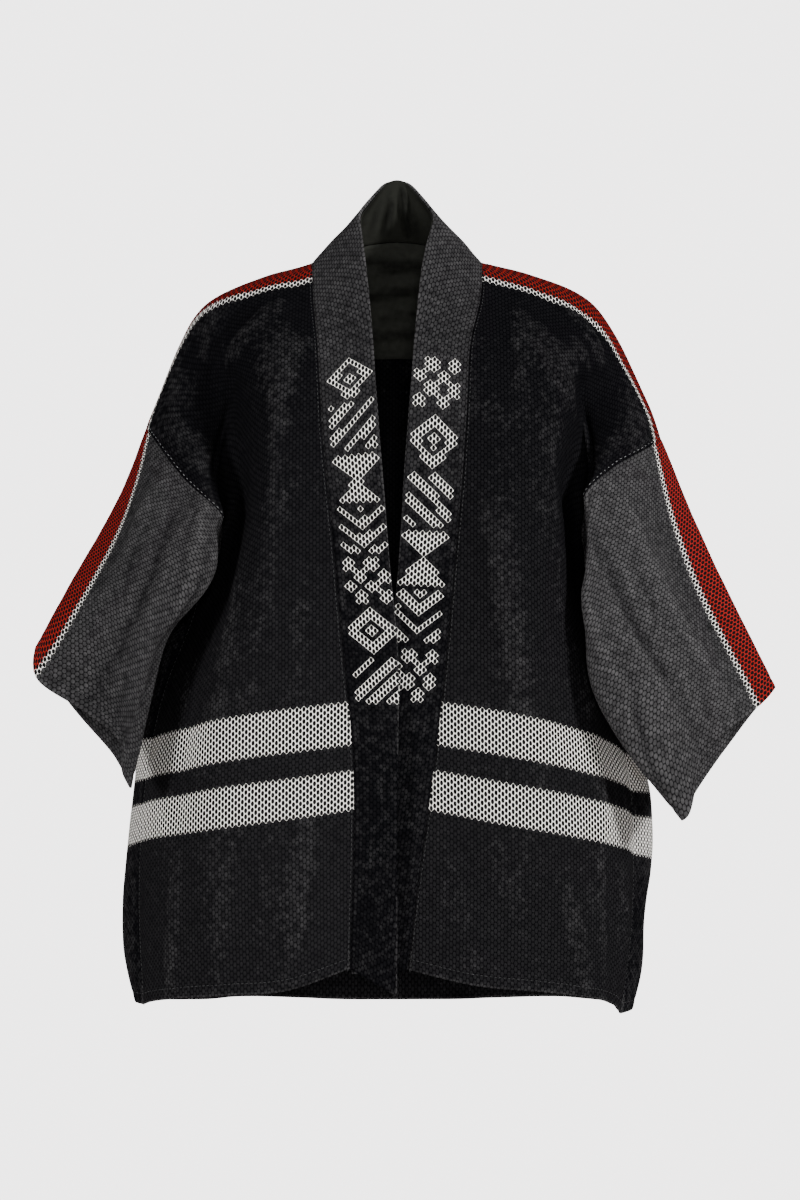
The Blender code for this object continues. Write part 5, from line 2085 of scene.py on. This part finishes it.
@dataclass
class Stitching:
    """All the rows of one kind of stitch, made as one piece from one stitch repeated."""

    name: str
    pitch: float
    length: float
    thick: float
    rows: list = field(default_factory=list)

    def add(self, piece: ClothPiece, line: list[Pair]) -> None:
        """Note one row of stitches along flat-cloth points of a piece."""
        self.rows.append((piece, line))

    def build(self, maps: dict[str, FlatMap], finish: bpy.types.Material) -> bpy.types.Object:
        """Lay the rows and repeat the stitch along them.

        Args:
            maps: Charts of the pieces by name.
            finish: The thread's material.

        Returns:
            The stitches as one plain mesh object.
        """
        points = []
        edges = []
        for piece, line in self.rows:
            chart = maps[piece.name]
            start = len(points)
            for (u_a, v_a), (u_b, v_b) in zip(line, line[1:]):
                steps = max(1, int(math.hypot(u_b - u_a, v_b - v_a) / STITCH_STEP))
                for t in (k / steps for k in range(steps)):
                    points.append(tuple(chart.at(u_a + (u_b - u_a) * t, v_a + (v_b - v_a) * t)))
            points.append(tuple(chart.at(*line[-1])))
            edges += [(k, k + 1) for k in range(start, len(points) - 1)]
        mesh = bpy.data.meshes.new(self.name + "_line")
        mesh.from_pydata(points, edges, [])
        line = put(self.name + "_line", mesh)
        tree = self.repeat_tree()
        repeat = line.modifiers.new("repeat", "NODES")
        repeat.node_group = tree
        values = {"Pitch": self.pitch * MM, "Length": self.length * MM, "Thickness": self.thick * MM}
        values["Thread"] = finish
        for item in tree.interface.items_tree:
            if item.in_out == "INPUT" and item.name in values:
                repeat[item.identifier] = values[item.name]
        graph = bpy.context.evaluated_depsgraph_get()
        done = bpy.data.meshes.new_from_object(line.evaluated_get(graph))
        bpy.data.objects.remove(line)
        done.name = self.name
        for face in done.polygons:
            face.use_smooth = True
        return put(self.name, done)

    def repeat_tree(self) -> bpy.types.GeometryNodeTree:
        """Geometry nodes that put one stitch at each step along a line.

        Returns:
            The node tree.
        """
        tree = bpy.data.node_groups.new(self.name + "_repeat", "GeometryNodeTree")
        sockets = (
            ("Geometry", "INPUT", "Geometry"),
            ("Pitch", "INPUT", "Float"),
            ("Length", "INPUT", "Float"),
            ("Thickness", "INPUT", "Float"),
            ("Thread", "INPUT", "Material"),
            ("Geometry", "OUTPUT", "Geometry"),
        )
        for label, way, kind in sockets:
            tree.interface.new_socket(label, in_out=way, socket_type="NodeSocket" + kind)
        start = tree.nodes.new("NodeGroupInput")
        end = tree.nodes.new("NodeGroupOutput")
        curve = tree.nodes.new("GeometryNodeMeshToCurve")
        sample = tree.nodes.new("GeometryNodeResampleCurve")
        sample.mode = "LENGTH"
        dots = tree.nodes.new("GeometryNodeCurveToPoints")
        dots.mode = "EVALUATED"
        ball = tree.nodes.new("GeometryNodeMeshUVSphere")
        ball.inputs["Segments"].default_value = 6
        ball.inputs["Rings"].default_value = 5
        ball.inputs["Radius"].default_value = 0.5
        shape = tree.nodes.new("GeometryNodeTransform")
        sizes = tree.nodes.new("ShaderNodeCombineXYZ")
        turn = tree.nodes.new("FunctionNodeAlignRotationToVector")
        turn.axis = "X"
        sway = tree.nodes.new("FunctionNodeRandomValue")
        sway.data_type = "FLOAT"
        sway.inputs[2].default_value = 0.82
        sway.inputs[3].default_value = 1.12
        sway.inputs["Seed"].default_value = 7
        place = tree.nodes.new("GeometryNodeInstanceOnPoints")
        real = tree.nodes.new("GeometryNodeRealizeInstances")
        paint = tree.nodes.new("GeometryNodeSetMaterial")
        wires = (
            (start, "Geometry", curve, 0),
            (curve, 0, sample, 0),
            (start, "Pitch", sample, "Length"),
            (sample, 0, dots, 0),
            (start, "Length", sizes, 0),
            (start, "Thickness", sizes, 1),
            (start, "Thickness", sizes, 2),
            (ball, 0, shape, 0),
            (sizes, 0, shape, "Scale"),
            (dots, "Tangent", turn, "Vector"),
            (dots, 0, place, "Points"),
            (shape, 0, place, "Instance"),
            (turn, 0, place, "Rotation"),
            (sway, 1, place, "Scale"),
            (place, 0, real, 0),
            (real, 0, paint, 0),
            (start, "Thread", paint, "Material"),
            (paint, 0, end, 0),
        )
        for source, outlet, target, inlet in wires:
            tree.links.new(source.outputs[outlet], target.inputs[inlet])
        return tree


@dataclass
class Jacket:
    """The whole jacket: its cut pieces, their finishes and the stitching that joins them."""

    pieces: dict[str, ClothPiece] = field(default_factory=dict)
    maps: dict[str, FlatMap] = field(default_factory=dict)

    def cut(self) -> None:
        """Cut and form every piece."""
        bodies, sleeves, gussets, collar, patch, facing = cut_pieces()
        plan = [
            ("collar", collar, Finish.COLLAR, 3, COLLAR_WALL),
            ("collar_lining", facing, Finish.LINING, 2, LINING_WALL),
            ("back_neck_lining", patch, Finish.LINING, 2, LINING_WALL),
        ]
        for side, word in ((1, "left"), (-1, "right")):
            plan.append(("body_" + word, bodies[side], Finish.STRIPED, 2, CLOTH_WALL))
            plan.append(("sleeve_" + word, sleeves[side], Finish.BANDED, 3, CLOTH_WALL))
            plan.append(("side_gusset_" + word, gussets[side], Finish.PLAIN_SIDE, 3, CLOTH_WALL))
        for node, cloth, finish, levels, wall in plan:
            clear = LINING_CLEAR.get(node, 0.0)
            piece = ClothPiece("cloth_" + node, node, cloth, finish, levels, wall, clear)
            piece.build()
            self.pieces[node] = piece
            log.info("formed %s", node)

    def dress(self, groups: Groups) -> None:
        """Give every piece its finish.

        Args:
            groups: The shared node groups by name.
        """
        finishes = {
            "body_left": ClothFinish("rice_grain_body_left", Finish.STRIPED, -0.10, lower=0.08),
            "body_right": ClothFinish("rice_grain_body_right", Finish.STRIPED, -0.11, lower=0.09),
            "sleeve_left": ClothFinish("rice_grain_sleeve_left", Finish.BANDED, 0.47),
            "sleeve_right": ClothFinish("rice_grain_sleeve_right", Finish.BANDED, 0.38),
            "side_gusset_left": ClothFinish("rice_grain_side_left", Finish.PLAIN_SIDE, 0.05),
            "side_gusset_right": ClothFinish("rice_grain_side_right", Finish.PLAIN_SIDE, 0.05),
            "collar": ClothFinish("rice_grain_collar", Finish.COLLAR, 0.38, lower=-0.36),
            "collar_lining": LiningFinish("collar_lining_cotton", worn=(0.0190, 0.0195, 0.0160)),
            "back_neck_lining": LiningFinish("neck_patch_cotton"),
        }
        for node, finish in finishes.items():
            self.pieces[node].obj.data.materials.append(finish.material(groups))

    def declare(self) -> dict[str, list[float]]:
        """Hang each piece from the root, hide its part of the model, and work out its flat cut.

        Returns:
            Width, length and area of each cut, by piece.
        """
        cuts = {}
        for node, piece in self.pieces.items():
            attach(piece.obj, "root")
            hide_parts(node)
            node + "_cloth"
            size, area = piece.cut()
            cuts[node] = [round(size[0], 3), round(size[1], 3), round(area, 4)]
        return cuts

    def sew(self) -> list[Stitching]:
        """Plan the rows of stitches along seams, hems and lining edges.

        Returns:
            The dark and the grey stitching.
        """
        self.maps = {piece.name: FlatMap(piece) for piece in self.pieces.values()}
        dark = Stitching("stitches_dark", 4.6, 3.1, 0.62)
        grey = Stitching("stitches_grey", 6.6, 3.4, 0.7)
        for word, side in (("left", 1), ("right", -1)):
            body = self.pieces["body_" + word]
            gusset = self.pieces["side_gusset_" + word]
            sleeve = self.pieces["sleeve_" + word]
            cloth = body.cloth
            levels = sorted(cloth.grid)
            ends = {v: cloth.flat[cloth.grid[v][-1]] for v in levels}
            starts = {v: cloth.flat[cloth.grid[v][0]] for v in levels}
            dark.add(body, [(starts[v][0] + FROM_COLLAR, starts[v][1]) for v in levels if v >= 0])
            for last in (max(levels), min(levels)):
                level = ends[last][1] - math.copysign(HEM_TURNED, last)
                first = starts[last][0] + FROM_END if last > 0 else FROM_END
                dark.add(body, [(first, level), (ends[last][0] - FROM_END, level)])
            front = [v for v in levels if v > ARMHOLE_FRONT - 1]
            back = [v for v in levels if v < 1 - ARMHOLE_BACK]
            for run in (front, back):
                dark.add(body, [(ends[v][0] - FROM_SIDE, ends[v][1]) for v in run])
            arm = [v for v in levels if -ARMHOLE_BACK <= v <= ARMHOLE_FRONT]
            grey.add(body, [(ends[v][0] - FROM_ARMHOLE, ends[v][1]) for v in arm])
            width = gusset.cloth.flat[gusset.cloth.grid[-1][-1]][0]
            hem = FRONT_LENGTH - HEM_TURNED
            dark.add(gusset, [(FROM_END, hem), (width - FROM_END, hem)])
            cuff = EDGE_AT + SLEEVE_LENGTH - HEM_TURNED
            ring = sleeve.cloth.grid[-2]
            low, high = sorted(sleeve.cloth.flat[k][1] for k in (ring[0], ring[-1]))
            dark.add(sleeve, [(cuff, low + FROM_END), (cuff, high - FROM_END)])
        return [dark, grey]


Lamp = namedtuple("Lamp", "name place look width height power")
LAMPS = (
    Lamp("key", (2.1, -1.7, 0.7), (0, 0, -0.4), 0.4, 0.6, 165),
    Lamp("left", (-2.2, -1.5, 0.1), (0, 0, -0.4), 0.4, 0.8, 80),
    Lamp("front", (0.05, -3.0, 0.0), (0, 0, -0.3), 0.4, 0.6, 52),
    Lamp("top", (0.0, -0.2, 1.9), (0, 0, -0.3), 1.4, 0.6, 22),
    Lamp("back", (0.7, 2.4, 0.8), (0, 0, -0.4), 1.4, 1.0, 190),
)


@dataclass
class Studio:
    """A pale floor, soft lights and the camera at the photograph's angle."""

    pale: Shade = (0.85, 0.83, 0.83)
    shine: float = 0.17
    seen: float = 4.6
    floor_half: float = 3.0
    floor_ends: tuple = (-2.3, 1.9)
    floor_level: float = -1.55
    lens: float = 68.57
    eye: Shade = (0.00315, -2.4, -0.3549)

    def floor(self) -> None:
        """Lay the pale floor."""
        near, far = self.floor_ends
        corners = ((-1, near), (1, near), (1, far), (-1, far))
        mesh = bpy.data.meshes.new("floor")
        mesh.from_pydata([(x * self.floor_half, y, self.floor_level) for x, y in corners], [], [(0, 1, 2, 3)])
        plane = put("floor", mesh)
        paint, _, shader = new_material("pale_floor", 0.5)
        shader.inputs["Base Color"].default_value = (*self.pale, 1.0)
        shader.inputs["Roughness"].default_value = 0.9
        mesh.materials.append(paint)

    def world(self) -> None:
        """The room is seen brighter than it shines, as behind a lit studio stand."""
        world = bpy.data.worlds.new("pale_room")
        world.use_nodes = True
        tree = world.node_tree
        shine = tree.nodes["Background"]
        seen = tree.nodes.new("ShaderNodeBackground")
        for light, strength in ((shine, self.shine), (seen, self.seen)):
            light.inputs["Color"].default_value = (*self.pale, 1.0)
            light.inputs["Strength"].default_value = strength
        ray = tree.nodes.new("ShaderNodeLightPath")
        mix = tree.nodes.new("ShaderNodeMixShader")
        wires = (ray.outputs["Is Camera Ray"], shine.outputs[0], seen.outputs[0])
        for place, wire in enumerate(wires):
            tree.links.new(wire, mix.inputs[place])
        tree.links.new(mix.outputs[0], tree.nodes["World Output"].inputs[0])
        bpy.context.scene.world = world

    def lamp(self, plan: Lamp) -> None:
        """Hang one soft lamp.

        Args:
            plan: Its place, aim, size and power.
        """
        data = bpy.data.lights.new(plan.name, "AREA")
        data.shape = "RECTANGLE"
        data.size = plan.width
        data.size_y = plan.height
        data.energy = plan.power
        lamp = put(plan.name, data)
        lamp.location = plan.place
        way = Vector(plan.look) - Vector(plan.place)
        lamp.rotation_euler = way.to_track_quat("-Z", "Y").to_euler()

    def camera(self) -> None:
        """Stand the camera at the photograph's angle."""
        data = bpy.data.cameras.new("camera")
        data.lens = self.lens
        data.sensor_width = 36.0
        data.sensor_fit = "AUTO"
        camera = put("camera", data)
        camera.location = self.eye
        camera.rotation_euler = (math.radians(90), 0, 0)
        bpy.context.scene.camera = camera


def main() -> None:
    """Build, dress and sew the jacket, then light it."""
    logging.basicConfig(level=logging.INFO, format="%(message)s")
    groups = {"weave": rice_weave_group(), "wear_and_trough_shade": wear_and_shade_group(), "motifs": collar_motif_group()}
    jacket = Jacket()
    jacket.cut()
    jacket.dress(groups)
    threads = jacket.sew()
    shades = (
        ThreadFinish("dark_thread", (0.0035, 0.0035, 0.0038)),
        ThreadFinish("grey_thread", (0.12, 0.12, 0.12)),
    )
    for thread, shade in zip(threads, shades):
        made = thread.build(jacket.maps, shade.material())
        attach(made, "root")
        log.info("sewed %s", thread.name)
    cuts = jacket.declare()
    for node, cut in cuts.items():
        log.info("%s: %s", node, cut)
    studio = Studio()
    studio.floor()
    studio.world()
    for plan in LAMPS:
        studio.lamp(plan)
    studio.camera()


if __name__ == "__main__":
    main()
